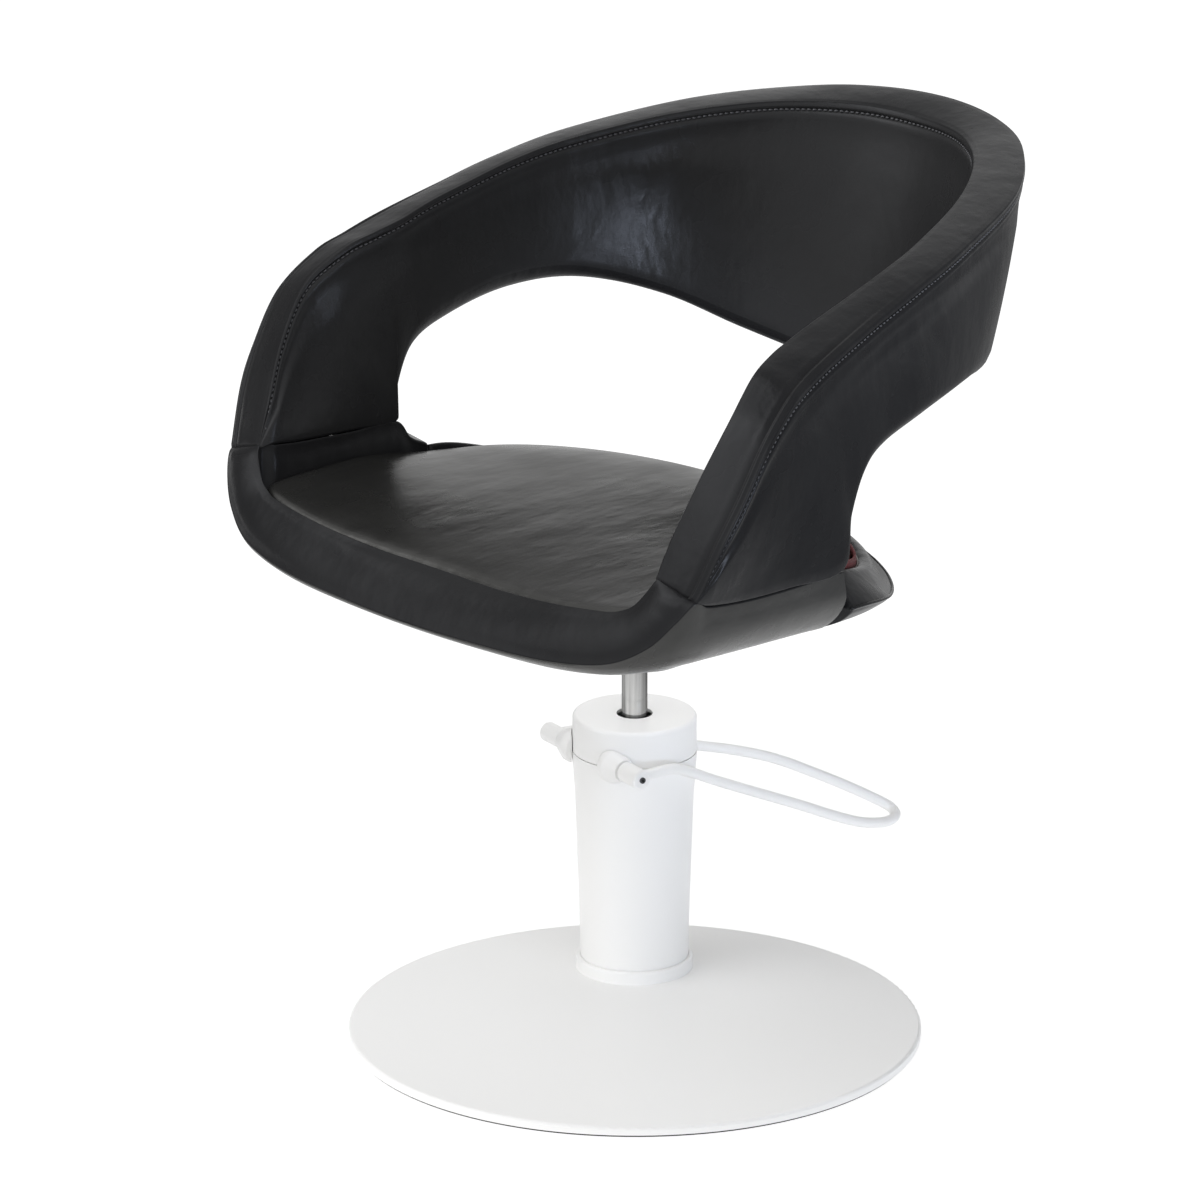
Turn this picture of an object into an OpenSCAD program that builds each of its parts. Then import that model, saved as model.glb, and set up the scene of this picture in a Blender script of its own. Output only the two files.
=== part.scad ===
// Hairdressing chair: a tub seat on a hydraulic column with a foot lever.
// Millimetres. The origin is on the floor, on the axis of the column.
// Z points up and the sitter faces -Y.

/* [Base plate] */
// Diameter of the round floor plate
plate_d = 550; // [480:5:620]
// Thickness of the floor plate
plate_t = 8; // [6:1:12]
// Radius of the plate's rounded upper edge
plate_edge = 3; // [1:0.5:4]
// Distance of the plate's centre from the column's axis
plate_offset = 158; // [120:1:170]
// Bearing of the plate's centre, counted from +X
plate_bearing = -44; // [-90:1:0]
// Thickness of the rubber pad under the plate
floor_pad_t = 2; // [1:0.5:4]
// Inset of the rubber pad from the plate's rim
floor_pad_inset = 2; // [1:0.5:6]

/* [Column] */
// Height of the column's top above the floor
column_top = 270; // [260:1:320]
// Height of the seam between the lower cover and the cap
seam_z = 233.5; // [225:0.5:240]
// Width of the dark seam line
seam_gap = 0.8; // [0.4:0.1:1.5]
// Diameter of the cap at its top
cap_d = 120.4; // [112:0.2:130]
// Diameter of the cover at the seam
cover_top_d = 121.6; // [114:0.2:132]
// Diameter of the cover just above its foot ring
cover_foot_d = 104.5; // [100:0.5:112]
// Wall of the sheet covers
cover_wall = 2; // [1.5:0.5:3]
// Radius of the cap's rounded upper edge
cap_edge = 4; // [2:0.5:8]
// Height of the cover's lip inside the cap
lip_h = 7.2; // [6:0.2:8]
// Thickness of that lip
lip_t = 1; // [0.8:0.1:1.2]
// Thickness of the cap's top
cap_top_t = 3; // [2:0.5:4]
// Diameter of the hole for the rod in the cap
cap_hole_d = 35; // [32:0.5:40]
// Diameter of the ring at the column's foot
foot_ring_d = 114; // [110:1:124]
// Height of the ring at the column's foot
foot_ring_h = 13; // [8:1:20]
// Rounding of the foot ring's edges
foot_ring_edge = 3; // [1:0.5:5]

/* [Hydraulic pump] */
// Diameter of the piston rod
rod_d = 25; // [22:1:28]
// Lift of the seat from its lowest place
lift_stroke = 130; // [80:5:140]
// Outer diameter of the oil tank
tank_d = 73; // [70:1:74]
// Wall of the oil tank
tank_wall = 3; // [2:0.5:3.5]
// Bore of the pressure tube
tube_bore = 32; // [30:0.5:33]
// Wall of the pressure tube
tube_wall = 3; // [2:0.5:3]
// Thickness of the tank's foot flange
tank_foot_t = 12; // [8:1:15]
// Diameter of the tank's foot flange
tank_foot_d = 98; // [96:0.5:99]
// Height of the top of the tank
tank_top = 210; // [200:1:212]
// Thickness of the pump head
head_t = 12; // [10:1:13]
// Diameter of the pump head
head_d = 80; // [76:1:84]
// Outer diameter of the gland neck on the head
neck_d = 38; // [34:1:40]
// Height of the top of the gland neck
neck_top = 256; // [250:1:258]
// Outer diameter of the rod's guide bush
guide_d = 31; // [29:0.5:32]
// Height of the rubber wiper
wiper_h = 8; // [5:1:8]
// Thickness of the piston
piston_t = 20; // [16:1:26]
// Space left above the piston at its highest place
stop_gap = 16; // [8:1:24]
// Diameter of the rod's spigot in the piston
spigot_d = 16; // [12:1:18]
// Length of the rod's spigot
spigot_len = 14; // [10:1:15]
// Height of the piston's seal
seal_h = 6; // [4:1:8]
// Depth of the groove that holds the piston's seal
seal_depth = 2.5; // [2:0.5:3]
// Diameter of the screws that hold the pump to the plate
foot_screw_d = 8; // [6:1:8]
// Diameter of the screws' circle
foot_screw_pcd = 86; // [84:0.5:87]

/* [Foot lever] */
// Turn of the lever about the column, from +Y towards +X
lever_turn = 11; // [0:1:40]
// Distance of the lever's shaft behind the column's axis
shaft_offset = 46; // [45:0.5:48]
// Height of the lever's shaft
shaft_z = 235; // [233:0.5:237]
// Diameter of the lever's shaft
shaft_d = 12; // [10:0.5:12]
// Distance of each hub's end face from the column's side, along the shaft
hub_reach = 44.2; // [40:0.2:52]
// Length of each hub
hub_len = 30; // [24:1:34]
// Diameter of each hub
hub_d = 19.5; // [18:0.5:22]
// Chamfer at the hub's end
hub_chamfer = 1.5; // [0.5:0.5:2]
// Diameter of the groove between hub and socket
hub_neck_d = 16; // [14.5:0.5:17]
// Width of the groove between hub and socket
hub_neck_w = 1.2; // [0.8:0.1:2]
// Diameter of each socket cone at the hub
socket_d = 22; // [20:0.5:24]
// Diameter of each socket cone where it meets the column
socket_root_d = 34; // [30:1:40]
// Length of each socket cone
socket_len = 27; // [22:1:30]
// Diameter of the bent foot rod
bail_d = 10.4; // [8:0.2:12]
// Width of the foot rod at the hubs beyond the column's width there
bail_w = 68.4; // [62:0.2:72]
// Reach of the foot rod from its shaft
bail_reach = 352; // [300:1:380]
// Drop of the foot rod's tip below its shaft
bail_drop = 131; // [100:1:150]
// Diameter of the hub screws
hub_screw_d = 6; // [5:0.5:8]
// Length of the hub screws
hub_screw_len = 16; // [10:1:20]
// Distance of the plunger from the lever's shaft
crank_reach = 19; // [17:0.5:20]
// Width of the crank on the shaft
crank_w = 10; // [8:1:10]
// Diameter of the crank's hub
crank_hub_d = 18; // [17:0.5:20]
// Diameter of the crank's nose
crank_nose_d = 8; // [6:0.5:9]
// Diameter of the pump's plunger
plunger_d = 8; // [6:0.5:8]
// Length of the pump's plunger
plunger_len = 40; // [36:1:44]
// Chamfer of the plunger's upper end
plunger_chamfer = 1.5; // [1:0.5:2]
// Outer diameter of the plunger's barrel
barrel_d = 12; // [11:0.5:12.5]
// Length of the plunger's barrel below the head
barrel_len = 30; // [24:1:36]
// Outer diameter of the shaft's bushes
bush_d = 15; // [14:0.5:15]
// Width of each of the two lugs that carry the shaft
lug_w = 7; // [6:0.5:8]
// Wall of the lugs round their bushes
lug_wall = 1.5; // [1:0.5:1.5]

/* [Seat mount] */
// Height of the lower end of the seat's socket
socket_foot_z = 330; // [320:1:350]
// Diameter of the socket at its lower end
socket_foot_d = 36; // [34:1:44]
// Diameter of the socket under the mounting plate
socket_head_d = 52; // [46:1:64]
// Side of the square mounting plate
mount_w = 200; // [160:5:220]
// Thickness of the mounting plate
mount_t = 6; // [4:1:8]
// Rounding of the mounting plate's corners
mount_corner = 14; // [6:1:24]
// Spacing of the seat bolts
bolt_pitch = 150; // [120:5:160]
// Diameter of the seat bolts
bolt_d = 8; // [6:1:10]
// Length of the seat bolts under their heads
bolt_len = 16; // [14:1:18]
// Height of the seat bolts' heads
bolt_head_h = 5.2; // [4:0.2:6.4]
// Width of the seat bolts' heads over their corners
bolt_head_d = 14.8; // [12:0.2:18]

/* [Seat] */
// Width of the tub over the arms
tub_w = 676; // [620:2:720]
// Distance of the back's top edge behind the column's axis
back_reach = 430; // [400:2:460]
// Height of the seam between the arms and the seat
arm_seam_z = 500; // [496:1:510]
// Height of the back's top edge above that seam
back_rise = 300; // [270:2:330]
// Depth of the seat's shell below that seam
shell_depth = 80; // [76:1:84]
// Thickness of the seat board
board_t = 15; // [12:1:18]
// Height of the seat shell's ledge above its underside
ledge_h = 10; // [8:1:12]
// Depth of the seat from the column's axis to its rear edge
seat_rear = 190; // [170:1:210]
// Thickness of the panel behind the cushion
rear_wall = 40; // [30:1:50]
// Height of the cushion's middle above the board
cushion_h = 43; // [36:1:50]
// Thickness of the lining under the seat
lining_t = 2; // [1:0.5:3]
// Inset of the lining from the shell's inner edge
lining_inset = 1; // [0.5:0.5:4]
// Height of the trim strip between cushion and rear panel
strip_h = 10; // [6:1:12]
// Thickness of the trim strip
strip_t = 3; // [2:0.5:4]

/* [Fits] */
// Radial clearance of a running fit
run_gap = 0.05; // [0.02:0.01:0.08]
// Clearance between pieces that sit against each other
seat_gap = 0.3; // [0.2:0.05:0.5]

/* [Hidden] */

// Overrun of every cut
over = 1;
// A quarter turn
quarter = 90;
// Facets of round pieces
round_n = 64;
// Steps of a spline between two stations
spline_steps = 3;
// Sides of the bent foot rod
bail_sides = 12;

plate_top = floor_pad_t + plate_t;
plate_x = plate_offset * cos(plate_bearing);
plate_y = plate_offset * sin(plate_bearing);

tank_foot_top = plate_top + tank_foot_t;
head_top = tank_top + head_t;
tube_d = tube_bore + 2 * tube_wall;
crank_y = crank_reach - shaft_offset;
plunger_top = shaft_z - crank_nose_d / 2 - 2 * seat_gap;
piston_z = tank_top - stop_gap - lift_stroke - piston_t;
rod_foot_z = piston_z + piston_t;
wiper_z = neck_top;
column_half = max(cap_d, cover_top_d) / 2;
chord_half = sqrt(column_half * column_half - shaft_offset * shaft_offset);
hub_end = chord_half + hub_reach;
bail_half = chord_half + bail_w / 2;
hub_inner = hub_end - hub_len;
lug_x = crank_w / 2 + seat_gap;
post_half = (bush_d + lug_wall) / 2;

shell_z = arm_seam_z - shell_depth;
ledge_z = shell_z + ledge_h;
board_top = ledge_z + board_t;
mount_z = ledge_z - mount_t;
tub_half = tub_w / 2;
rear_inner = seat_rear - rear_wall;

// Colours as the photograph shows them
paint = [0.93, 0.93, 0.94];
hide = [0.06, 0.06, 0.065];
steel = [0.66, 0.67, 0.69];
dark = [0.13, 0.13, 0.14];
rubber = [0.05, 0.05, 0.05];
bronze = [0.72, 0.56, 0.32];
casting = [0.38, 0.39, 0.41];
ply = [0.74, 0.58, 0.40];
trim = [0.30, 0.05, 0.06];

// Smooth curves through hand-chosen points. One that starts or ends on the middle
// plane crosses it squarely.
function blend3(a, b, c, d, t) =
    0.5 * (2 * b + (c - a) * t + (2 * a - 5 * b + 4 * c - d) * t * t
        + (3 * b - a - 3 * c + d) * t * t * t);
function flip_point(p) = [-p.x, p.y, p.z];
function beyond(p, next) = p.x == 0 ? flip_point(next) : 2 * p - next;
function curve(pts, steps) =
    let (
        n = len(pts),
        q = concat([beyond(pts[0], pts[1])], pts, [beyond(pts[n - 1], pts[n - 2])])
    )
    [for (i = [0 : n - 2]) for (k = [0 : steps - 1])
        blend3(q[i], q[i + 1], q[i + 2], q[i + 3], k / steps), pts[n - 1]];

function flip(pts) = [for (p = pts) flip_point(p)];
function reversed(list) = [for (i = [len(list) - 1 : -1 : 0]) list[i]];
function total(pts, i = 0) = i == len(pts) ? [0, 0, 0] : pts[i] + total(pts, i + 1);
function mean(pts) = total(pts) / len(pts);
// A half that starts on the middle plane becomes a whole, left to right
function both_sides(rings) =
    concat([for (i = [len(rings) - 1 : -1 : 1]) flip(rings[i])], rings);

// Skin over a row of rings, with a flat fan at each end about the middle of its hub
// points, or of the whole ring where none are named
module loft(rings, hub_points = []) {
    n = len(rings);
    m = len(rings[0]);
    hubs = [for (r = [rings[0], rings[n - 1]])
        mean(len(hub_points) == 0 ? r : [for (k = hub_points) r[k]])];
    points = concat([for (r = rings) each r], hubs);
    sides = [for (i = [0 : n - 2]) for (j = [0 : m - 1])
        let (a = i * m + j, b = i * m + (j + 1) % m)
        each [[a, b, b + m], [a, b + m, a + m]]];
    starts = [for (j = [0 : m - 1]) [n * m, (j + 1) % m, j]];
    ends = [for (j = [0 : m - 1]) [n * m + 1, (n - 1) * m + j, (n - 1) * m + (j + 1) % m]];
    polyhedron(points, concat(sides, starts, ends), convexity = 6);
}

// Round bar swept along a path
function unit(v) = v / norm(v);
function ring_at(path, i, r, sides) =
    let (
        n = len(path),
        dir = unit(path[min(i + 1, n - 1)] - path[max(i - 1, 0)]),
        across = unit(cross(dir, [0, 0.3, 1])),
        up = cross(across, dir)
    )
    [for (k = [0 : sides - 1]) path[i] + r * (cos(360 * k / sides) * across
        + sin(360 * k / sides) * up)];
module bar(path, d, sides) {
    loft([for (i = [0 : len(path) - 1]) ring_at(path, i, d / 2, sides)]);
}

module tube(d_out, d_in, z_low, z_high) {
    translate([0, 0, z_low])
        difference() {
            cylinder(d = d_out, h = z_high - z_low, $fn = round_n);
            translate([0, 0, -over])
                cylinder(d = d_in, h = z_high - z_low + 2 * over, $fn = round_n);
        }
}

// Places things in the pump's own frame: X along the shaft, Y towards the pedal
module pump_frame() {
    rotate([0, 0, -lever_turn]) children();
}

// Places a piece that turns about the lever's shaft, with its axis along +X
module on_shaft(x) {
    translate([x, -shaft_offset, shaft_z]) rotate([0, 90, 0]) children();
}

module foot_screw_places() {
    for (i = [0 : 3])
        rotate([0, 0, 45 + 90 * i]) translate([foot_screw_pcd / 2, 0, 0]) children();
}

module base_plate() {
    r = plate_d / 2;
    color(paint)
        difference() {
            translate([plate_x, plate_y, floor_pad_t])
                rotate_extrude($fn = 2 * round_n)
                    union() {
                        square([r - plate_edge, plate_t]);
                        square([r, plate_t - plate_edge]);
                        translate([r - plate_edge, plate_t - plate_edge])
                            circle(r = plate_edge, $fn = round_n / 2);
                    }
            pump_frame() foot_screw_places() translate([0, 0, floor_pad_t - over]) {
                cylinder(d = foot_screw_d + 2 * seat_gap, h = plate_t + 2 * over, $fn = round_n);
                cylinder(d = 2 * foot_screw_d, h = over + plate_t / 2, $fn = round_n);
            }
        }
}

module floor_pad() {
    color(rubber)
        translate([plate_x, plate_y, 0])
            cylinder(d = plate_d - 2 * floor_pad_inset, h = floor_pad_t, $fn = 2 * round_n);
}

// Slightly hollow taper of the lower cover: shares of its taper and of its height
cover_shares = [[0, 0], [0.15, 0.27], [0.35, 0.5], [0.62, 0.8], [1, 1]];
function cover_line(inset) =
    let (
        r_foot = cover_foot_d / 2,
        taper = (cover_top_d - cover_foot_d) / 2,
        height = seam_z - seam_gap / 2 - plate_top
    )
    [for (s = cover_shares) [r_foot + taper * s.x - inset, plate_top + height * s.y]];
// The lip stands on a fold inside the cover and centres the cap
function lip_line() =
    let (r_out = cap_d / 2 - cover_wall - seat_gap, r_fold = (cover_top_d - cover_wall) / 2)
    [[r_out - lip_t, seam_z + lip_h], [r_out - lip_t, seam_z - lip_h],
     [r_fold, seam_z - lip_h], [r_fold, seam_z - lip_h + lip_t],
     [r_out, seam_z - lip_h + 2 * lip_t], [r_out, seam_z + lip_h]];

module shaft_cut(d) {
    pump_frame() on_shaft(-hub_end) cylinder(d = d, h = 2 * hub_end, $fn = round_n);
}

module column_cover() {
    color(paint)
        difference() {
            rotate_extrude($fn = 2 * round_n)
                union() {
                    polygon(concat(cover_line(0), reversed(cover_line(cover_wall))));
                    polygon(lip_line());
                }
            shaft_cut(bush_d);
        }
}

module foot_ring() {
    r = foot_ring_d / 2;
    bore = cover_foot_d / 2 + 2 * seat_gap;
    reach = r - bore - foot_ring_edge;
    color(paint)
        translate([0, 0, plate_top])
            rotate_extrude($fn = 2 * round_n)
                difference() {
                    union() {
                        translate([bore, 0]) square([r - bore, foot_ring_edge]);
                        translate([bore, 0]) square([reach, foot_ring_h]);
                        translate([bore, foot_ring_edge])
                            square([r - bore, foot_ring_h - 2 * foot_ring_edge]);
                        for (z = [foot_ring_edge, foot_ring_h - foot_ring_edge])
                            translate([r - foot_ring_edge, z])
                                circle(r = foot_ring_edge, $fn = round_n / 2);
                    }
                    translate([0, -over]) square([bore, foot_ring_h + 2 * over]);
                }
}

module cap_outline(inset) {
    r = cap_d / 2 - inset;
    low = seam_z + seam_gap / 2;
    top = column_top - inset;
    edge = max(cap_edge - inset, seat_gap);
    translate([0, low]) square([r, top - edge - low]);
    translate([0, low]) square([r - edge, top - low]);
    translate([r - edge, top - edge]) circle(r = edge, $fn = round_n / 2);
}

module top_cap() {
    color(paint)
        difference() {
            rotate_extrude($fn = 2 * round_n)
                difference() {
                    intersection() {
                        cap_outline(0);
                        square([cap_d, column_top]);
                    }
                    square([cap_hole_d / 2, column_top + over]);
                    intersection() {
                        translate([0, -over]) square([cap_d, column_top - cap_top_t + over]);
                        union() {
                            cap_outline(cover_wall);
                            square([cap_d / 2 - cover_wall, seam_z + cap_edge]);
                        }
                    }
                }
            shaft_cut(bush_d);
        }
}

// Rounded cone outside the column at each end of the lever's shaft: shares of the
// cone's widening and of its length, from the column to the hub
socket_shares = [[0.1, 0], [0.62, 0.05], [0.87, 0.13], [1, 0.28], [0.98, 0.42], [0, 1]];
module lever_sockets() {
    start = hub_inner - hub_neck_w - socket_len;
    bore = shaft_d / 2 + run_gap;
    widening = (socket_root_d - socket_d) / 2;
    outline = [for (s = socket_shares) [socket_d / 2 + widening * s.x, s.y * socket_len]];
    color(paint)
        pump_frame()
            for (side = [0, 1]) mirror([side, 0, 0])
                difference() {
                    on_shaft(start)
                        rotate_extrude($fn = round_n)
                            polygon(concat([[bore, socket_len], [bore, 0]], outline));
                    translate([0, 0, shaft_z - socket_root_d])
                        cylinder(r = column_half + seat_gap, h = 2 * socket_root_d,
                            $fn = 2 * round_n);
                }
}

module tank_foot() {
    color(casting)
        difference() {
            translate([0, 0, plate_top]) cylinder(d = tank_foot_d, h = tank_foot_t, $fn = round_n);
            pump_frame() foot_screw_places() translate([0, 0, plate_top - over])
                cylinder(d = foot_screw_d + 2 * run_gap, h = tank_foot_t, $fn = round_n);
        }
}

// Depth of the screws' sockets as a share of their heads
screw_socket_share = 0.7;

module foot_screws() {
    screw_head_h = plate_t / 2 - seat_gap;
    screw_len = plate_t + tank_foot_t - 2 * over;
    color(dark)
        pump_frame() foot_screw_places() translate([0, 0, floor_pad_t])
            difference() {
                union() {
                    cylinder(d = 2 * foot_screw_d - 2 * seat_gap, h = screw_head_h, $fn = round_n);
                    cylinder(d = foot_screw_d, h = screw_len, $fn = round_n);
                }
                translate([0, 0, -over])
                    cylinder(d = foot_screw_d * screw_socket_share,
                        h = over + screw_head_h * screw_socket_share, $fn = 6);
            }
}

module oil_tank() {
    color(steel) tube(tank_d, tank_d - 2 * tank_wall, tank_foot_top, tank_top);
}

module pressure_tube() {
    color(steel) tube(tube_d, tube_bore, tank_foot_top, tank_top);
}

// Closes the tank, guides the rod and carries the lever's shaft in two lugs that stand
// on a tongue of its plate
module pump_head() {
    tongue_half = lug_x + lug_w + lug_wall / 2;
    tongue_reach = shaft_offset + post_half + seat_gap;
    post_z = tank_top + head_t / 2;
    color(casting)
        difference() {
            union() {
                pump_frame() translate([0, 0, tank_top])
                    linear_extrude(height = head_t)
                        union() {
                            circle(d = head_d, $fn = round_n);
                            translate([-tongue_half, -tongue_reach])
                                square([2 * tongue_half, tongue_reach]);
                        }
                translate([0, 0, post_z]) cylinder(d = neck_d, h = neck_top - post_z, $fn = round_n);
                pump_frame()
                    for (side = [0, 1]) mirror([side, 0, 0]) {
                        translate([lug_x, -shaft_offset - post_half, post_z])
                            cube([lug_w, 2 * post_half, shaft_z - post_z]);
                        on_shaft(lug_x)
                            cylinder(r = bush_d / 2 + lug_wall, h = lug_w, $fn = round_n);
                    }
            }
            translate([0, 0, tank_top - over])
                cylinder(d = guide_d, h = neck_top - tank_top + 2 * over, $fn = round_n);
            shaft_cut(bush_d);
            pump_frame() translate([0, crank_y, tank_top - over])
                cylinder(d = plunger_d + 2 * run_gap, h = head_t + 2 * over, $fn = round_n);
        }
}

module rod_guide() {
    color(bronze) tube(guide_d, rod_d + 2 * run_gap, tank_top, neck_top);
}

module wiper_seal() {
    color(rubber) tube(neck_d - 2 * tank_wall, rod_d + 2 * run_gap, wiper_z, wiper_z + wiper_h);
}

module shaft_bushes() {
    color(bronze)
        pump_frame()
            for (side = [0, 1]) mirror([side, 0, 0])
                on_shaft(lug_x) tube(bush_d, shaft_d + 2 * run_gap, 0, lug_w);
}

module pump_barrel() {
    color(steel)
        pump_frame() translate([0, crank_y, 0])
            tube(barrel_d, plunger_d + 2 * run_gap, tank_top - barrel_len, tank_top);
}

module pedal_shaft() {
    color(steel)
        pump_frame()
            difference() {
                on_shaft(-hub_end + hub_screw_len / 2)
                    cylinder(d = shaft_d, h = 2 * hub_end - hub_screw_len, $fn = round_n);
                for (side = [0, 1]) mirror([side, 0, 0])
                    on_shaft(hub_end - hub_screw_len)
                        cylinder(d = hub_screw_d, h = hub_screw_len, $fn = round_n);
            }
}

module pedal_hubs() {
    r = hub_d / 2;
    cap_t = hub_screw_len / 2;
    color(paint)
        pump_frame()
            for (side = [0, 1]) mirror([side, 0, 0])
                difference() {
                    on_shaft(hub_inner)
                        rotate_extrude($fn = round_n)
                            polygon([
                                [0, 0], [hub_neck_d / 2, 0], [r, hub_neck_w],
                                [r, hub_len - hub_chamfer], [r - hub_chamfer, hub_len], [0, hub_len]
                            ]);
                    on_shaft(hub_inner - over)
                        cylinder(d = shaft_d, h = hub_len - cap_t + over, $fn = round_n);
                    on_shaft(hub_inner)
                        cylinder(d = hub_screw_d, h = hub_len + over, $fn = round_n);
                }
}

// Shares of half the width, of the reach and of the drop, near arm first
bail_shares = [
    [1, 0.01, 0], [1, 0.06, -0.006], [0.99, 0.12, -0.004], [0.94, 0.18, 0.06],
    [0.84, 0.29, 0.21], [0.70, 0.445, 0.41], [0.55, 0.60, 0.61], [0.41, 0.75, 0.81],
    [0.31, 0.85, 0.925], [0.22, 0.935, 0.98], [0.07, 0.99, 0.985], [-0.11, 1, 0.955],
    [-0.21, 0.965, 0.89], [-0.29, 0.88, 0.755], [-0.38, 0.78, 0.61], [-0.48, 0.66, 0.45],
    [-0.60, 0.545, 0.345], [-0.72, 0.43, 0.265], [-0.86, 0.26, 0.14], [-0.98, 0.10, 0.02],
    [-1, 0.01, 0]
];
function bail_point(s) =
    [s.x * bail_half, s.y * bail_reach - shaft_offset, shaft_z - s.z * bail_drop];

module pedal_bail() {
    path = curve([for (s = bail_shares) bail_point(s)], spline_steps);
    color(paint)
        pump_frame()
            difference() {
                bar(path, bail_d, bail_sides);
                for (side = [0, 1]) mirror([side, 0, 0])
                    on_shaft(hub_inner) cylinder(d = hub_d + 2 * run_gap, h = hub_len, $fn = round_n);
            }
}

module hub_screws() {
    head_h = hub_screw_d / 4;
    color(dark)
        pump_frame()
            for (side = [0, 1]) mirror([side, 0, 0])
                on_shaft(hub_end - hub_screw_len)
                    difference() {
                        cylinder(d = hub_screw_d, h = hub_screw_len + head_h, $fn = round_n);
                        translate([0, 0, hub_screw_len - head_h])
                            cylinder(d = hub_screw_d / 2, h = 2 * head_h + over, $fn = 6);
                    }
}

// Crank on the shaft whose nose presses the plunger down
module pump_crank() {
    color(casting)
        pump_frame()
            on_shaft(-crank_w / 2)
                linear_extrude(height = crank_w)
                    difference() {
                        union() {
                            circle(d = crank_hub_d, $fn = round_n / 2);
                            hull()
                                for (y = [0, crank_reach])
                                    translate([0, y]) circle(d = crank_nose_d, $fn = round_n / 2);
                        }
                        circle(d = shaft_d + 2 * run_gap, $fn = round_n);
                    }
}

module pump_plunger() {
    r = plunger_d / 2;
    color(steel)
        pump_frame() translate([0, crank_y, plunger_top - plunger_len])
            rotate_extrude($fn = round_n)
                polygon([
                    [0, 0], [r, 0], [r, plunger_len - plunger_chamfer],
                    [r - plunger_chamfer, plunger_len], [0, plunger_len]
                ]);
}

module piston_head() {
    d = tube_bore - 2 * run_gap;
    groove_z = piston_z + (piston_t - seal_h) / 2;
    color(steel)
        difference() {
            translate([0, 0, piston_z]) cylinder(d = d, h = piston_t, $fn = round_n);
            tube(d + over, d - 2 * seal_depth, groove_z, groove_z + seal_h);
            translate([0, 0, rod_foot_z - spigot_len - run_gap])
                cylinder(d = spigot_d + 2 * run_gap, h = piston_t, $fn = round_n);
        }
}

module piston_seal() {
    groove_z = piston_z + (piston_t - seal_h) / 2;
    d = tube_bore - 2 * run_gap;
    color(rubber)
        tube(d, d - 2 * seal_depth, groove_z + run_gap, groove_z + seal_h - run_gap);
}

module piston_rod() {
    color(steel) {
        translate([0, 0, rod_foot_z + run_gap])
            cylinder(d = rod_d, h = mount_z - rod_foot_z - run_gap, $fn = round_n);
        translate([0, 0, rod_foot_z - spigot_len])
            cylinder(d = spigot_d, h = spigot_len + over, $fn = round_n);
    }
}

module seat_socket() {
    foot_h = socket_foot_d / 4;
    color(dark)
        rotate_extrude($fn = round_n)
            polygon([
                [rod_d / 2 + run_gap, socket_foot_z], [socket_foot_d / 2 - over, socket_foot_z],
                [socket_foot_d / 2, socket_foot_z + over],
                [socket_foot_d / 2, socket_foot_z + foot_h], [socket_head_d / 2, mount_z],
                [rod_d / 2 + run_gap, mount_z]
            ]);
}

module bolt_places() {
    for (x = [-1, 1]) for (y = [-1, 1])
        translate([x * bolt_pitch / 2, y * bolt_pitch / 2, 0]) children();
}

module mount_outline(gap) {
    inner = mount_w / 2 - mount_corner;
    reach = mount_w + 2 * gap;
    union() {
        square([reach, 2 * inner], center = true);
        square([2 * inner, reach], center = true);
        for (x = [-inner, inner]) for (y = [-inner, inner])
            translate([x, y]) circle(r = mount_corner + gap, $fn = round_n);
    }
}

module mounting_plate() {
    color(dark)
        difference() {
            translate([0, 0, mount_z]) linear_extrude(height = mount_t) mount_outline(0);
            bolt_places() translate([0, 0, mount_z - over])
                cylinder(d = bolt_d + 2 * seat_gap, h = mount_t + 2 * over, $fn = round_n);
        }
}

module plate_bolts() {
    color(steel)
        bolt_places() translate([0, 0, mount_z]) {
            translate([0, 0, -bolt_head_h]) cylinder(d = bolt_head_d, h = bolt_head_h, $fn = 6);
            cylinder(d = bolt_d, h = bolt_len, $fn = round_n);
        }
}

// Crease between cushion and shell, from the middle of the front edge to the rear end
// of the side. Shares of half the tub's width, of the back's reach and of the shell's
// depth.
crease_shares = [
    [0, -0.593, 0.275], [0.251, -0.602, 0.25], [0.473, -0.609, 0.175], [0.657, -0.600, 0.09],
    [0.746, -0.584, 0], [0.775, -0.565, 0], [0.781, -0.44, 0], [0.784, -0.158, 0],
    [0.784, -0.047, 0.13]
];
// Outer edge of the ledge that carries the board, drawn in round the front corners
ledge_shares = [
    [0, -0.585, 1], [0.248, -0.592, 1], [0.464, -0.592, 1], [0.622, -0.570, 1],
    [0.705, -0.535, 1], [0.742, -0.497, 1], [0.756, -0.435, 1], [0.770, -0.158, 1],
    [0.776, -0.047, 1]
];
inner_shares = [
    [0, -0.547, 1], [0.237, -0.547, 1], [0.444, -0.542, 1], [0.592, -0.526, 1],
    [0.666, -0.493, 1], [0.698, -0.460, 1], [0.704, -0.430, 1], [0.704, -0.158, 1],
    [0.704, -0.047, 1]
];
function shell_point(s) = [s.x * tub_half, s.y * back_reach, arm_seam_z - s.z * shell_depth];
function shell_line(shares) = curve([for (s = shares) shell_point(s)], spline_steps);

// Reach of the lining's rear edge as a share of the cushion's
lining_rear_share = 0.80;
rear_steps = 8;
plan_half_w = crease_shares[8].x * tub_half;
plan_front_y = crease_shares[0].y * back_reach;
side_end_y = crease_shares[8].y * back_reach;
plan_mid_y = (plan_front_y + rear_inner) / 2;

// A plan: along a line of the shell, then round the rear half, and back on the far side
function plan(shares, rear) =
    let (
        line = shell_line(shares),
        side = line[len(line) - 1].x,
        round_end = [for (i = [1 : rear_steps])
            let (t = quarter * i / rear_steps)
            [side * cos(t), side_end_y + (rear - side_end_y) * sin(t)]],
        half = concat([for (p = line) [p.x, p.y]], round_end)
    )
    concat(half, [for (i = [len(half) - 2 : -1 : 1]) [-half[i].x, half[i].y]]);
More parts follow.
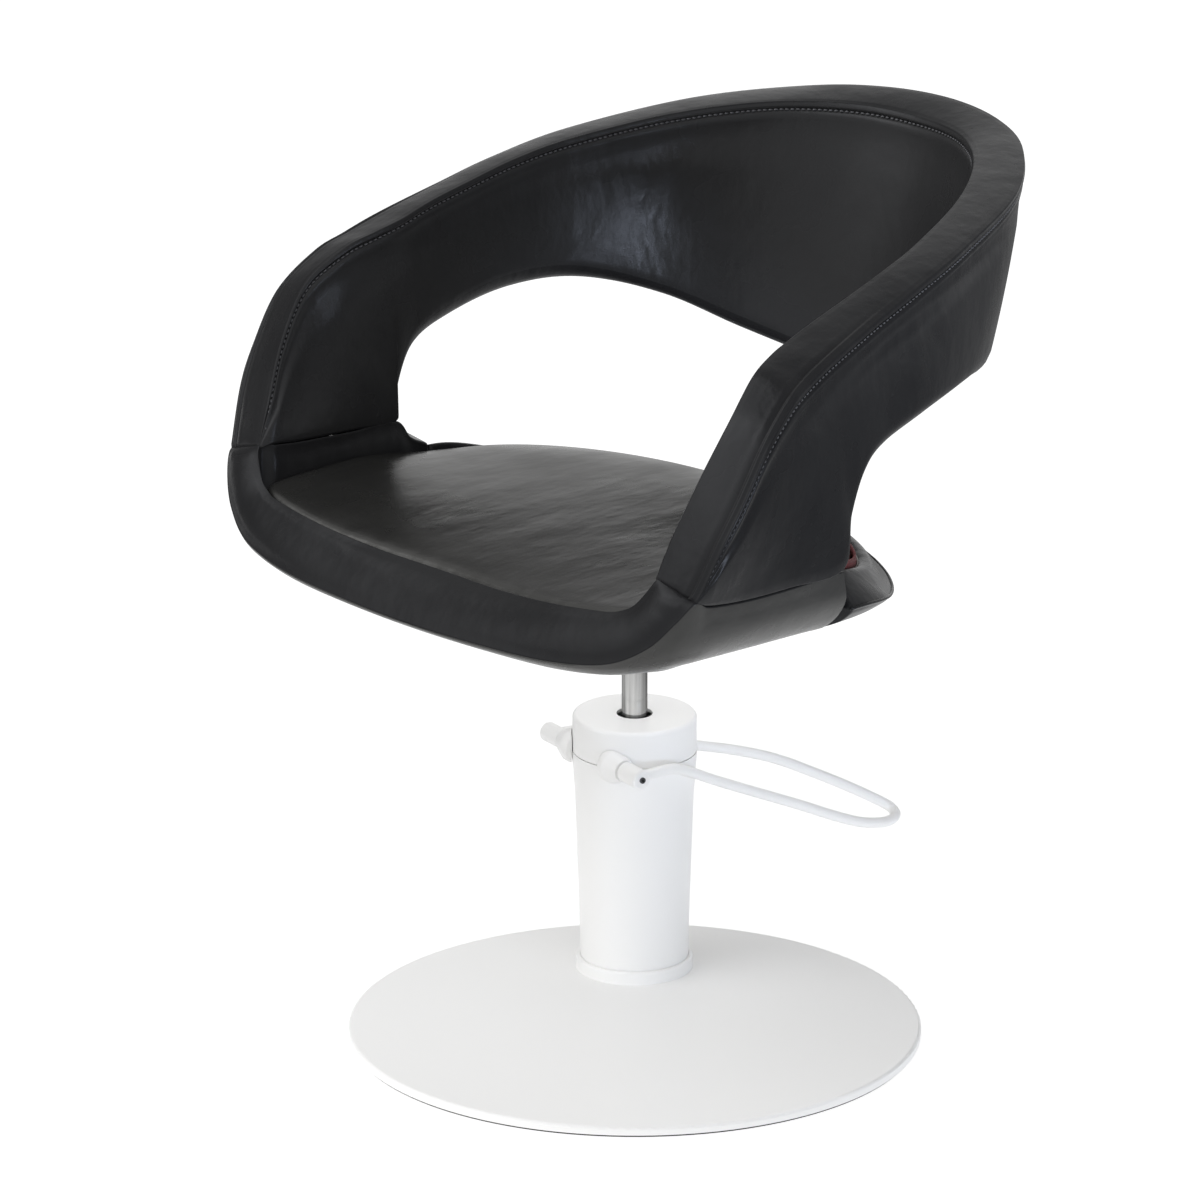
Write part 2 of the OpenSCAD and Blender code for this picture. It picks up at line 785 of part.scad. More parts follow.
// The plan drawn in by a gap all round
function drawn_in(p, gap) =
    [p.x * (1 - gap / plan_half_w),
     plan_mid_y + (p.y - plan_mid_y) * (1 - gap / (rear_inner - plan_mid_y))];

module seat_board() {
    outline = [for (p = plan(ledge_shares, rear_inner)) drawn_in(p, seat_gap)];
    color(ply)
        difference() {
            translate([0, 0, ledge_z]) linear_extrude(height = board_t) polygon(outline);
            bolt_places() translate([0, 0, ledge_z - over])
                cylinder(d = bolt_d + 2 * run_gap, h = board_t + 2 * over, $fn = round_n);
        }
}

// Thin black lining under the board, open round the mounting plate
module seat_lining() {
    rear = rear_inner * lining_rear_share;
    outline = [for (p = plan(inner_shares, rear)) drawn_in(p, lining_inset)];
    color(hide)
        translate([0, 0, ledge_z - lining_t])
            linear_extrude(height = lining_t)
                difference() {
                    polygon(outline);
                    mount_outline(over);
                }
}

// The shell's other lines at the crease's stations, in the same shares
welt_shares = [
    [0, -0.700, 0.81], [0.281, -0.695, 0.79], [0.518, -0.681, 0.75], [0.725, -0.651, 0.625],
    [0.864, -0.602, 0.30], [0.929, -0.549, 0], [0.941, -0.435, 0], [0.939, -0.158, 0],
    [0.938, -0.047, 0]
];
belly_shares = [
    [0, -0.693, 0.87], [0.278, -0.688, 0.86], [0.512, -0.674, 0.82], [0.710, -0.642, 0.735],
    [0.843, -0.593, 0.53], [0.908, -0.540, 0.40], [0.923, -0.435, 0.40], [0.923, -0.158, 0.42],
    [0.923, -0.047, 0.43]
];
turn_shares = [
    [0, -0.672, 0.925], [0.272, -0.667, 0.92], [0.497, -0.651, 0.91], [0.675, -0.619, 0.86],
    [0.793, -0.570, 0.745], [0.852, -0.523, 0.67], [0.864, -0.435, 0.68], [0.864, -0.158, 0.74],
    [0.864, -0.047, 0.76]
];
under_shares = [
    [0, -0.628, 0.955], [0.260, -0.623, 0.95], [0.470, -0.609, 0.94], [0.607, -0.577, 0.915],
    [0.710, -0.530, 0.875], [0.754, -0.493, 0.86], [0.763, -0.435, 0.87], [0.763, -0.158, 0.91],
    [0.763, -0.047, 0.92]
];
// Swell of the front band between its two seams
band_swell = 5;
swell_dir_share = [0, -0.7, 0.7];

function kept_low(p, top) = [p.x, p.y, min(p.z, top)];

function shell_rings() =
    let (
        crease = shell_line(crease_shares), welt = shell_line(welt_shares),
        belly = shell_line(belly_shares), turn = shell_line(turn_shares),
        under = shell_line(under_shares), inner = shell_line(inner_shares),
        ledge = shell_line(ledge_shares)
    )
    [for (i = [0 : len(crease) - 1])
        let (
            a = kept_low(crease[i], arm_seam_z),
            b = kept_low(welt[i], arm_seam_z),
            open_share = min(1, 2 * (arm_seam_z - b.z) / shell_depth),
            swell = band_swell * open_share * swell_dir_share
        )
        [a, (a + b) / 2 + swell, b, belly[i], turn[i], under[i], inner[i],
         [inner[i].x, inner[i].y, ledge_z], [ledge[i].x, ledge[i].y, ledge_z],
         [ledge[i].x, ledge[i].y, ledge_z + board_t], [a.x, a.y, ledge_z + board_t]]];

// Points about the inner corner of a section, from whose middle all of it is seen
shell_hub_points = [4, 5, 8, 8];
panel_hub_points = [3, 4, 7, 7];

module seat_shell() {
    color(hide) loft(both_sides(shell_rings()), shell_hub_points);
}

// Rear panel: an open half ring behind the side shells.
// Each row holds the half-ellipse's two radii as shares, and a depth share.
panel_crest_shares = [0.784, 1, 0.64];
panel_top_shares = [0.885, 1.18, 0.56];
panel_bulge_shares = [0.90, 1.255, 0.80];
panel_turn_shares = [0.855, 1.20, 0.97];
panel_under_shares = [0.77, 1.08, 1.02];
panel_inner_shares = [0.704, 0.80, 1.02];
panel_front_z_share = 0.14;
// Rise of the panel's turn and underside towards its two ends
panel_end_rise_share = 0.08;
panel_steps = 14;

function panel_point(s, t, z) =
    [s.x * tub_half * cos(t), side_end_y + seat_gap + (rear_inner * s.y - side_end_y) * sin(t), z];
function panel_top_z(s, t) =
    let (
        low = arm_seam_z - s.z * shell_depth,
        high = arm_seam_z - panel_front_z_share * shell_depth,
        fall = pow(max(0, cos(t)), 6)
    )
    low + (high - low) * fall;
function panel_ring(t) =
    let (
        low = function (s) arm_seam_z - s.z * shell_depth,
        rise = panel_end_rise_share * shell_depth * pow(max(0, cos(t)), 4),
        top_z = panel_top_z(panel_top_shares, t),
        crest_z = panel_top_z(panel_crest_shares, t)
    )
    [panel_point(panel_crest_shares, t, crest_z),
     panel_point(panel_top_shares, t, top_z),
     panel_point(panel_bulge_shares, t, low(panel_bulge_shares)),
     panel_point(panel_turn_shares, t, low(panel_turn_shares) + rise),
     panel_point(panel_under_shares, t, low(panel_under_shares) + rise),
     panel_point(panel_inner_shares, t, low(panel_inner_shares)),
     panel_point(panel_inner_shares, t, ledge_z - seat_gap),
     panel_point(panel_crest_shares, t, ledge_z - seat_gap)];

module rear_panel() {
    rings = [for (i = [0 : 2 * panel_steps]) panel_ring(quarter * i / panel_steps)];
    color(hide) loft(rings, panel_hub_points);
}

// Dark red trim that shows in the gap between the cushion and the rear panel, from
// this angle behind the side
strip_from = 24;

module rear_strip() {
    a = panel_crest_shares.x * tub_half;
    rows = [for (i = [0 : 2 * panel_steps])
        let (t = strip_from + (quarter - strip_from) * i / panel_steps)
        [for (k = [0 : 3])
            let (
                out = (k == 1 || k == 2) ? strip_t : 0,
                z = panel_top_z(panel_crest_shares, t) + 3 * seat_gap + ((k > 1) ? strip_h : 0)
            )
            [(a + out + seat_gap) * cos(t),
             side_end_y + (rear_inner + out + seat_gap - side_end_y) * sin(t), z]]];
    color(trim) loft(rows);
}

// Cushion that fills the plan above the board. Its upper face rises to the sides and
// falls to the front and the rear by these shares of its middle height.
side_rise_share = 0.28;
front_fall_share = 0.21;
rear_fall_share = 0.56;
function crown_h(p) =
    let (
        across = min(1, abs(p.x) / plan_half_w),
        ahead = max(0, (side_end_y - p.y) / (side_end_y - plan_front_y)),
        behind = max(0, (p.y - side_end_y) / (rear_inner - side_end_y))
    )
    cushion_h * (1 + side_rise_share * pow(across, 2) * (1 - pow(behind, 2))
        - front_fall_share * pow(ahead, 3) * (1 - pow(across, 4))
        - rear_fall_share * pow(behind, 2));
// How far its edge and its underside draw in, and shares of that inset and of the
// upper face's height
edge_inset = 4.8;
foot_inset = 9;
edge_shares = [[0.23, 0.02], [0, 0.16], [0, 0.66], [0.27, 0.88], [1, 0.98]];
crown_shares = [0.92, 0.78, 0.60, 0.40, 0.20];
function cushion_edge(p, gap, share) =
    let (q = drawn_in(p, gap + seat_gap)) [q.x, q.y, board_top + crown_h(p) * share];
function cushion_crown(p, share) =
    let (
        edge = drawn_in(p, edge_inset + seat_gap),
        q = [edge.x * share, plan_mid_y + (edge.y - plan_mid_y) * share]
    )
    [q.x, q.y, board_top + crown_h(q)];

module seat_cushion() {
    outline = plan(crease_shares, rear_inner);
    color(hide)
        loft(concat(
            [[for (p = outline) cushion_edge(p, foot_inset, 0)]],
            [for (s = edge_shares) [for (p = outline) cushion_edge(p, s.x * edge_inset, s.y)]],
            [for (s = crown_shares) [for (p = outline) cushion_crown(p, s)]]
        ));
}

// Arms and back: inner and outer edges of the rim, then of the lower edge.
// Shares of half the width, of the back's reach and of the back's rise.
rim_in_shares = [
    [0.752, -0.582, 0.010], [0.793, -0.558, 0.085], [0.825, -0.514, 0.237], [0.852, -0.451, 0.417],
    [0.861, -0.370, 0.580], [0.825, -0.277, 0.677], [0.796, -0.198, 0.717], [0.781, -0.128, 0.743],
    [0.775, -0.047, 0.777], [0.763, 0.051, 0.810], [0.740, 0.195, 0.857], [0.695, 0.337, 0.893],
    [0.577, 0.558, 0.937], [0.411, 0.740, 0.963], [0.210, 0.860, 0.967], [0, 0.898, 0.963]
];
rim_out_shares = [
    [0.917, -0.572, 0.010], [0.953, -0.535, 0.090], [0.985, -0.484, 0.237], [1, -0.433, 0.360],
    [1, -0.360, 0.517], [0.976, -0.267, 0.623], [0.953, -0.198, 0.667], [0.938, -0.128, 0.703],
    [0.920, -0.047, 0.737], [0.896, 0.058, 0.777], [0.864, 0.209, 0.830], [0.805, 0.400, 0.883],
    [0.657, 0.681, 0.937], [0.435, 0.881, 0.973], [0.228, 0.970, 0.993], [0, 1, 1]
];
foot_in_shares = [
    [0.749, -0.582, 0], [0.775, -0.556, 0], [0.778, -0.521, 0], [0.781, -0.456, 0],
    [0.781, -0.372, 0], [0.781, -0.279, 0], [0.784, -0.158, 0], [0.784, -0.153, 0.150],
    [0.781, -0.105, 0.300], [0.769, 0.012, 0.373], [0.737, 0.174, 0.423], [0.672, 0.340, 0.417],
    [0.547, 0.512, 0.327], [0.399, 0.633, 0.207], [0.213, 0.709, 0.133], [0, 0.735, 0.107]
];
foot_out_shares = [
    [0.915, -0.572, 0], [0.930, -0.535, 0], [0.938, -0.498, 0], [0.941, -0.435, 0],
    [0.941, -0.353, 0], [0.941, -0.244, 0], [0.938, -0.060, 0], [0.932, -0.047, 0.167],
    [0.929, 0, 0.293], [0.914, 0.070, 0.357], [0.882, 0.221, 0.407], [0.802, 0.391, 0.427],
    [0.675, 0.570, 0.373], [0.488, 0.716, 0.293], [0.254, 0.819, 0.240], [0, 0.856, 0.207]
];
// Swell of the padded faces as shares of the wall's thickness, and the heights of
// their two middle lines as shares of the way up
face_swell_share = 0.07;
rim_swell_share = 0.08;
low_share = 0.35;
high_share = 0.7;
function part_way(a, b, share) = a + (b - a) * share;

function tub_point(s) = [s.x * tub_half, s.y * back_reach, arm_seam_z + seat_gap + s.z * back_rise];
function tub_line(shares) =
    [for (p = curve([for (s = shares) tub_point(s)], spline_steps))
        [p.x, p.y, max(p.z, arm_seam_z + seat_gap)]];

function tub_rings() =
    let (
        rim_in = tub_line(rim_in_shares), rim_out = tub_line(rim_out_shares),
        foot_in = tub_line(foot_in_shares), foot_out = tub_line(foot_out_shares)
    )
    [for (i = [0 : len(rim_in) - 1])
        let (
            wall = rim_out[i] - rim_in[i],
            side = [wall.x, wall.y, 0],
            up = [0, 0, norm(side)],
            on_rail = foot_in[i].z < arm_seam_z + 2 * seat_gap
        )
        [foot_in[i],
         part_way(foot_in[i], rim_in[i], low_share) - side * face_swell_share,
         part_way(foot_in[i], rim_in[i], high_share) - side * face_swell_share,
         rim_in[i],
         (rim_in[i] + rim_out[i]) / 2 + up * rim_swell_share,
         rim_out[i],
         part_way(foot_out[i], rim_out[i], high_share) + side * face_swell_share,
         part_way(foot_out[i], rim_out[i], low_share) + side * face_swell_share,
         foot_out[i],
         (foot_in[i] + foot_out[i]) / 2 - (on_rail ? [0, 0, 0] : up * rim_swell_share)]];

module tub_band() {
    half = tub_rings();
    color(hide) loft(concat(half, [for (i = [len(half) - 2 : -1 : 0]) flip(half[i])]));
}

base_plate();
floor_pad();
column_cover();
foot_ring();
top_cap();
lever_sockets();
tank_foot();
foot_screws();
oil_tank();
pressure_tube();
pump_head();
rod_guide();
wiper_seal();
shaft_bushes();
pump_barrel();
pedal_shaft();
pedal_hubs();
pedal_bail();
hub_screws();
pump_crank();
pump_plunger();
piston_head();
piston_seal();
piston_rod();
seat_socket();
mounting_plate();
plate_bolts();
seat_board();
seat_lining();
seat_shell();
rear_panel();
rear_strip();
seat_cushion();
tub_band();
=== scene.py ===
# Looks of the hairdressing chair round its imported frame.
# Metres, +Z up, the sitter faces -Y. The origin is on the floor under the column.
import math

import bmesh
import bpy
import numpy as np
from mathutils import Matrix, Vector


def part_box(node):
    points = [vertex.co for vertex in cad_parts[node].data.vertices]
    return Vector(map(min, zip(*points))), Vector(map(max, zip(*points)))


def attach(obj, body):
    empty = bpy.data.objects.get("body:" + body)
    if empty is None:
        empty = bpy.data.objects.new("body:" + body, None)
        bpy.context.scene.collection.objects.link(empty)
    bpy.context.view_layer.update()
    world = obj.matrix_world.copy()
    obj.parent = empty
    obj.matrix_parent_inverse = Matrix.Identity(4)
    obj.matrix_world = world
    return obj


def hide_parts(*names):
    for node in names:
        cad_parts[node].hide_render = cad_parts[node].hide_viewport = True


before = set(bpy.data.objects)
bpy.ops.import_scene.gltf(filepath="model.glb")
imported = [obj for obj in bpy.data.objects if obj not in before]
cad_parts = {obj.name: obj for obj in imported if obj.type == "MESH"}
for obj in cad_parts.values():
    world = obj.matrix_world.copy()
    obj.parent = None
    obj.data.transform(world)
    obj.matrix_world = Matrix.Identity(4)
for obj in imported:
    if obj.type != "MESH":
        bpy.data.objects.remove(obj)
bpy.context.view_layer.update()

# Driving sizes of the upholstery
MM = 0.001
TUB_HALF = 338 * MM
BACK_REACH = 430 * MM
BACK_RISE = 300 * MM
SEAM_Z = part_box("seat_shell")[1].z
BOARD_TOP_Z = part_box("seat_board")[1].z
BOARD_FOOT_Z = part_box("seat_board")[0].z

# The mirror of the middle plane, and how near to the plane a point counts as on it
MIRROR = np.array([-1.0, 1.0, 1.0])
ON_MIDDLE = 1e-9

# Camera fitted to the photograph
CAMERA_TURN = 46.0
CAMERA_RISE = 19.05
CAMERA_DISTANCE = 12.0
CAMERA_CLIP = 100.0
CAMERA_LENS = 374.03
CAMERA_SENSOR = 36.0
CAMERA_TARGET = (-0.0232, -0.0240, 0.3851)

# Studio: strengths as seen by the object. Each lobe has a bearing, a height, the angles
# of its rim and of its core, and the strength it adds.
STUDIO_BASE = 0.68
STUDIO_LOBES = [
    (138, 82, 34, 14, -0.60),
    (-122, 27, 24, 10, 0.9),
    (-101, 45, 32, 10, 1.7),
    (70, 15, 75, 25, 0.44),
    (60, 5, 70, 25, -0.62),
    (15, 10, 40, 15, -0.40),
    (-175, 8, 44, 18, -0.50),
    (-85, 8, 35, 12, 0.20),
    (-44, 20, 40, 15, 0.20),
]
# Name, place, width and height, the angle of its beam, power, colour and aim
LAMPS = [
    ("softbox_right", (2.35, -0.20, 0.48), (0.34, 0.96), 50, 2.4, (0.76, 0.84, 1.0),
     (0, 0.36, 0.70)),
    ("softbox_top", (-0.8, -0.9, 3.1), (2.0, 2.0), 180, 21, (1, 1, 1), (0, 0, 0.3)),
    ("fill_below", (0, 0, 0.40), (0.30, 0.30), 180, 0.38, (1, 1, 1), (0, 0, 0)),
]
# The floor glows near the chair, fades, and glows again far off as a backdrop.
FLOOR_HALF = 12.0
FLOOR_GAP = 0.0005
FLOOR_GREY = 0.28
FLOOR_NEAR = 0.5
FLOOR_FAR = 1.2
FLOOR_NEAR_GLOW = 0.72
FLOOR_FAR_GLOW = 0.05
FLOOR_CAMERA_GLOW = 0.86
BACKDROP_FROM = 2.8
BACKDROP_FULL = 4.5
BACKDROP_GLOW = 0.85


# Curves and points

def shares_to_points(shares):
    """Shares of half the width, of the back's reach and of its rise, as points."""
    sizes = np.array([TUB_HALF, BACK_REACH, BACK_RISE])
    return np.array(shares, float) * sizes + np.array([0, 0, SEAM_Z])


def beyond(end, neighbour):
    """The point past a curve's end. On the middle plane it mirrors its neighbour."""
    if np.ndim(end) and abs(end[0]) < ON_MIDDLE:
        return neighbour * MIRROR
    return 2 * end - neighbour


def spline(points, where):
    """Smooth curve through the points, read at real-valued indices."""
    points = np.asarray(points, float)
    first, last = beyond(points[0], points[1]), beyond(points[-1], points[-2])
    padded = np.concatenate([[first], points, [last]])
    where = np.clip(np.asarray(where, float), 0, len(points) - 1)
    index = np.minimum(where.astype(int), len(points) - 2)
    t = where - index
    if points.ndim > 1:
        t = t[:, None]
    a, b, c, d = (padded[index + k] for k in range(4))
    return 0.5 * (2 * b + (c - a) * t + (2 * a - 5 * b + 4 * c - d) * t ** 2
                  + (3 * b - a - 3 * c + d) * t ** 3)


def at(points, where):
    """One point of the smooth curve."""
    return spline(points, [where])[0]


def unit(v):
    return v / np.linalg.norm(v)


def at_height(point, z):
    return np.array([point[0], point[1], z])


def smoothstep(low, high, value):
    t = min(max((value - low) / (high - low), 0.0), 1.0)
    return t * t * (3 - 2 * t)


def arch(share):
    """0 at both ends and 1 in the middle."""
    return 4 * share * (1 - share)


def mirrored(half):
    """Points or rings of a half that ends on the middle plane, carried on to the whole."""
    half = np.asarray(half)
    return np.concatenate([half, half[-2::-1] * MIRROR])


# The most of a straight that a rounding may take
FILLET_MOST_SHARE = 0.45


def fillet(before, corner, after, radius, steps):
    """Round corner as points from one straight to the next."""
    reach_before = min(radius, FILLET_MOST_SHARE * np.linalg.norm(before - corner))
    reach_after = min(radius, FILLET_MOST_SHARE * np.linalg.norm(after - corner))
    start = corner + unit(before - corner) * reach_before
    end = corner + unit(after - corner) * reach_after
    points = []
    for k in range(steps + 1):
        t = k / steps
        points.append(start * (1 - t) ** 2 + corner * 2 * t * (1 - t) + end * t ** 2)
    return points


# Meshes

def make_mesh(name, points, faces, material, smooth=True):
    """A piece of its own from points and faces."""
    mesh = bpy.data.meshes.new(name)
    mesh.from_pydata([tuple(p) for p in points], [], faces)
    mesh.update()
    mesh.polygons.foreach_set("use_smooth", [smooth] * len(mesh.polygons))
    mesh.materials.append(material)
    piece = bpy.data.objects.new(name, mesh)
    bpy.context.scene.collection.objects.link(piece)
    return piece


def skin_faces(count, size, base=0):
    """Faces between the neighbours of a row of rings, which start at a point's index."""
    faces = []
    for ring in range(count - 1):
        a = base + ring * size
        b = a + size
        for j in range(size):
            k = (j + 1) % size
            faces.append((a + j, a + k, b + k, b + j))
    return faces


def turn_outwards(piece):
    edit = bmesh.new()
    edit.from_mesh(piece.data)
    bmesh.ops.recalc_face_normals(edit, faces=edit.faces)
    edit.to_mesh(piece.data)
    edit.free()


def loft(name, rings, material):
    """Skin over a row of closed rings, capped by a fan at each end."""
    rings = np.asarray(rings, float)
    count, size = rings.shape[:2]
    points = np.concatenate([rings.reshape(-1, 3), [rings[0].mean(0), rings[-1].mean(0)]])
    faces = skin_faces(count, size)
    top, end = count * size, (count - 1) * size
    for j in range(size):
        k = (j + 1) % size
        faces.append((top, k, j))
        faces.append((top + 1, end + j, end + k))
    piece = make_mesh(name, points, faces, material)
    turn_outwards(piece)
    return piece


# A direction that no tube starts along
TUBE_LEAN = (0.1, 0.3, 1.0)


def tube_rings(path, radius, sides):
    """Circles along a path, each turned as little as possible from the one before."""
    path = np.asarray(path, float)
    angles = 2 * math.pi * np.arange(sides) / sides
    rings = []
    side = None
    for i, centre in enumerate(path):
        along = unit(path[min(i + 1, len(path) - 1)] - path[max(i - 1, 0)])
        if side is None:
            side = unit(np.cross(along, TUBE_LEAN))
        side = unit(side - along * side.dot(along))
        up = np.cross(along, side)
        circle = np.cos(angles)[:, None] * side + np.sin(angles)[:, None] * up
        rings.append(centre + radius * circle)
    return rings


# Node materials

# Noises are given as cells per metre, octaves and the octaves' weight, bumps as strength
# and depth, and a range of roughness from the smoothest patch up.
LEATHER_PATCHES = (9.0, 4.0, 0.55)
LEATHER_CREASES = (26.0, 3.0, 0.5)
LEATHER_GRAIN = (420.0, 2.0, 0.5)
CREASE_DEPTH = 0.004
GRAIN_BUMP = (0.10, 0.0006)
THREAD_FIBRE = (900.0, 2.0, 0.5)
THREAD_DRAWN = (1.0, 1.0, 4.0)
THREAD_BUMP = (0.3, 0.0003)
THREAD_ROUGH = (0.30, 0.45)
# The thread's grey is partly its own dark tone and partly a painted glint along the stitches.
THREAD_GREY_AND_PAINTED_GLINT = (0.075, 0.075, 0.082)
PAINT_PEEL = (420.0, 2.0, 0.5)
PAINT_PATCHES = (7.0, 3.0, 0.5)
PAINT_BUMP = (0.05, 0.0004)
PAINT_ROUGH = (0.34, 0.44)
PAINT_COLOUR = (0.91, 0.908, 0.90)
STEEL_STREAKS = (110.0, 2.0, 0.6)
STEEL_LINES = (160.0, 4.0, 0.6)
STEEL_BUMP = (0.05, 0.0002)
STEEL_EDGE = (0.30, 0.30, 0.30)
PLAIN_PATCHES = (4.0, 0.6)
PLAIN_GRAIN = (3.0, 0.5)
PLAIN_GRAIN_TIMES = 8
PLAIN_DEPTH = 0.0005
PLAIN_TONE_SHARE = 0.2
PLAIN_ROUGH_STEP = 0.06
# The part of a noise's range that most of it lies in, and a narrower one for streaks
MIDDLE = (0.3, 0.7)
NARROW_MIDDLE = (0.35, 0.65)
# A noise that isn't drawn out along any axis
EVEN = (1.0, 1.0, 1.0)

# Leathers: refraction, two tones, sheen, strength of the creases and how they are drawn out
TUB_IOR = 1.245
SEAT_IOR = 1.60
SIDE_IOR = 1.45
TUB_TINTS = ((0.0115, 0.0115, 0.0124), (0.0180, 0.0180, 0.0188))
# The inner panel's tones are lighter than the tub's: painted light reflected onto the tub's inner
# side.
INNER_PAINTED_LIGHT_TINTS = ((0.0200, 0.0200, 0.0207), (0.0270, 0.0270, 0.0280))
SEAT_TINTS = ((0.0140, 0.0140, 0.0134), (0.0210, 0.0207, 0.0198))
# The side and underside panels' tones are lighter than the tub's: painted light reflected up from
# the floor.
SIDE_FLOOR_LIGHT_TINTS = ((0.030, 0.030, 0.029), (0.042, 0.0415, 0.040))
TUB_SHEEN = (0.94, 0.96, 1.0)
SEAT_SHEEN = (1.0, 0.995, 0.965)
CREASES = 0.42
SIDE_CREASES = 0.26
TUB_DRAWN = (1.0, 1.0, 0.6)
SEAT_DRAWN = (1.0, 0.45, 1.0)
TUB_ROUGH = (0.20, 0.36)
SEAT_ROUGH = (0.24, 0.36)

# Ground steels: colour, range of roughness, how the lines are drawn out, and the streaks
STEELS = {
    "rod_steel": ((0.46, 0.46, 0.455), (0.10, 0.18), (1.0, 1.0, 0.02), 0.55),
    "bright_steel": ((0.62, 0.62, 0.62), (0.25, 0.38), (1.0, 1.0, 0.05), 0.1),
}
# Plain finishes: colour, roughness, cells per metre, strength of the bump, metal's share
PLAIN_FINISHES = {
    "red_trim": ((0.10, 0.012, 0.014), 0.7, 300.0, 0.3, 0.0),
    "pale_trim": ((0.45, 0.43, 0.41), 0.6, 300.0, 0.2, 0.0),
    "dark_steel": ((0.03, 0.03, 0.032), 0.42, 60.0, 0.1, 0.0),
    "black_rubber": ((0.02, 0.02, 0.02), 0.75, 90.0, 0.25, 0.0),
    "bush_bronze": ((0.50, 0.34, 0.16), 0.35, 80.0, 0.1, 1.0),
    "pump_casting": ((0.16, 0.16, 0.165), 0.6, 120.0, 0.4, 0.6),
    "plywood": ((0.42, 0.28, 0.15), 0.7, 30.0, 0.3, 0.0),
    "black_lining": ((0.015, 0.015, 0.015), 0.9, 400.0, 0.4, 0.0),
}

# Sockets of the mixing node, by what it mixes
MIX_COLOUR_A, MIX_COLOUR_B, MIX_COLOUR_OUT = 6, 7, 2
MIX_FLOAT_A, MIX_FLOAT_B, MIX_FLOAT_OUT = 2, 3, 0


def new_material(name):
    material = bpy.data.materials.new(name)
    material.use_nodes = True
    tree = material.node_tree
    return material, tree, tree.nodes["Principled BSDF"]


def add_node(tree, kind, **settings):
    node = tree.nodes.new(kind)
    for key, value in settings.items():
        setattr(node, key, value)
    return node


def noise(tree, scale, detail, weight, drawn=EVEN):
    """Noise on the object's own coordinates, drawn out along an axis with a share below 1."""
    place = add_node(tree, "ShaderNodeTexCoord")
    mapping = add_node(tree, "ShaderNodeMapping")
    mapping.inputs["Scale"].default_value = drawn
    tree.links.new(place.outputs["Object"], mapping.inputs["Vector"])
    node = add_node(tree, "ShaderNodeTexNoise")
    node.inputs["Scale"].default_value = scale
    node.inputs["Detail"].default_value = detail
    node.inputs["Roughness"].default_value = weight
    tree.links.new(mapping.outputs["Vector"], node.inputs["Vector"])
    return node.outputs["Fac"]


def mapped(tree, value, low, high, from_low, from_high):
    """A value carried from one range into another."""
    node = add_node(tree, "ShaderNodeMapRange")
    node.inputs["From Min"].default_value = from_low
    node.inputs["From Max"].default_value = from_high
    node.inputs["To Min"].default_value = low
    node.inputs["To Max"].default_value = high
    tree.links.new(value, node.inputs["Value"])
    return node.outputs["Result"]


def combined(tree, operation, first, second):
    """Two values, each a socket or a number, joined by a maths operation."""
    node = add_node(tree, "ShaderNodeMath", operation=operation)
    for socket, value in zip(node.inputs, (first, second)):
        if isinstance(value, float):
            socket.default_value = value
        else:
            tree.links.new(value, socket)
    return node.outputs[0]


def add_bump(tree, shader, height, strength, depth, below=None):
    """Bump from a height, on top of another bump where one is given."""
    node = add_node(tree, "ShaderNodeBump")
    node.inputs["Strength"].default_value = strength
    node.inputs["Distance"].default_value = depth
    tree.links.new(height, node.inputs["Height"])
    if below is not None:
        tree.links.new(below, node.inputs["Normal"])
    tree.links.new(node.outputs["Normal"], shader.inputs["Normal"])
    return node.outputs["Normal"]


def add_tones(tree, shader, share, first, second):
    """Colours the shader from one tone to the other."""
    tint = add_node(tree, "ShaderNodeMix", data_type="RGBA")
    tint.inputs[MIX_COLOUR_A].default_value = tuple(first) + (1,)
    tint.inputs[MIX_COLOUR_B].default_value = tuple(second) + (1,)
    tree.links.new(share, tint.inputs["Factor"])
    tree.links.new(tint.outputs[MIX_COLOUR_OUT], shader.inputs["Base Color"])


def add_roughness(tree, shader, value, rough, middle=MIDDLE):
    tree.links.new(mapped(tree, value, *rough, *middle), shader.inputs["Roughness"])


def leather(name, ior, tints, sheen, creases, drawn, rough):
    """Smooth black faux leather: fine grain, soft creases, patchy sheen."""
    material, tree, shader = new_material(name)
    shader.inputs["IOR"].default_value = ior
    shader.inputs["Specular Tint"].default_value = sheen + (1,)
    patches = noise(tree, *LEATHER_PATCHES)
    add_tones(tree, shader, patches, *tints)
    add_roughness(tree, shader, patches, rough)
    soft = add_bump(tree, shader, noise(tree, *LEATHER_CREASES, drawn), creases, CREASE_DEPTH)
    add_bump(tree, shader, noise(tree, *LEATHER_GRAIN), *GRAIN_BUMP, soft)
    return material


def thread_material():
    """Sewing thread with its fibres lying across the stitches."""
    material, tree, shader = new_material("thread")
    fibre = noise(tree, *THREAD_FIBRE, THREAD_DRAWN)
    # Its colour is dark thread lightened by a painted glint.
    shader.inputs["Base Color"].default_value = THREAD_GREY_AND_PAINTED_GLINT + (1,)
    add_roughness(tree, shader, fibre, THREAD_ROUGH, (0.0, 1.0))
    add_bump(tree, shader, fibre, *THREAD_BUMP)
    return material


def paint_material():
    """White powder coat: a faint orange peel under a satin sheen."""
    material, tree, shader = new_material("white_powder_coat")
    shader.inputs["Base Color"].default_value = PAINT_COLOUR + (1,)
    add_roughness(tree, shader, noise(tree, *PAINT_PATCHES), PAINT_ROUGH)
    add_bump(tree, shader, noise(tree, *PAINT_PEEL), *PAINT_BUMP)
    return material


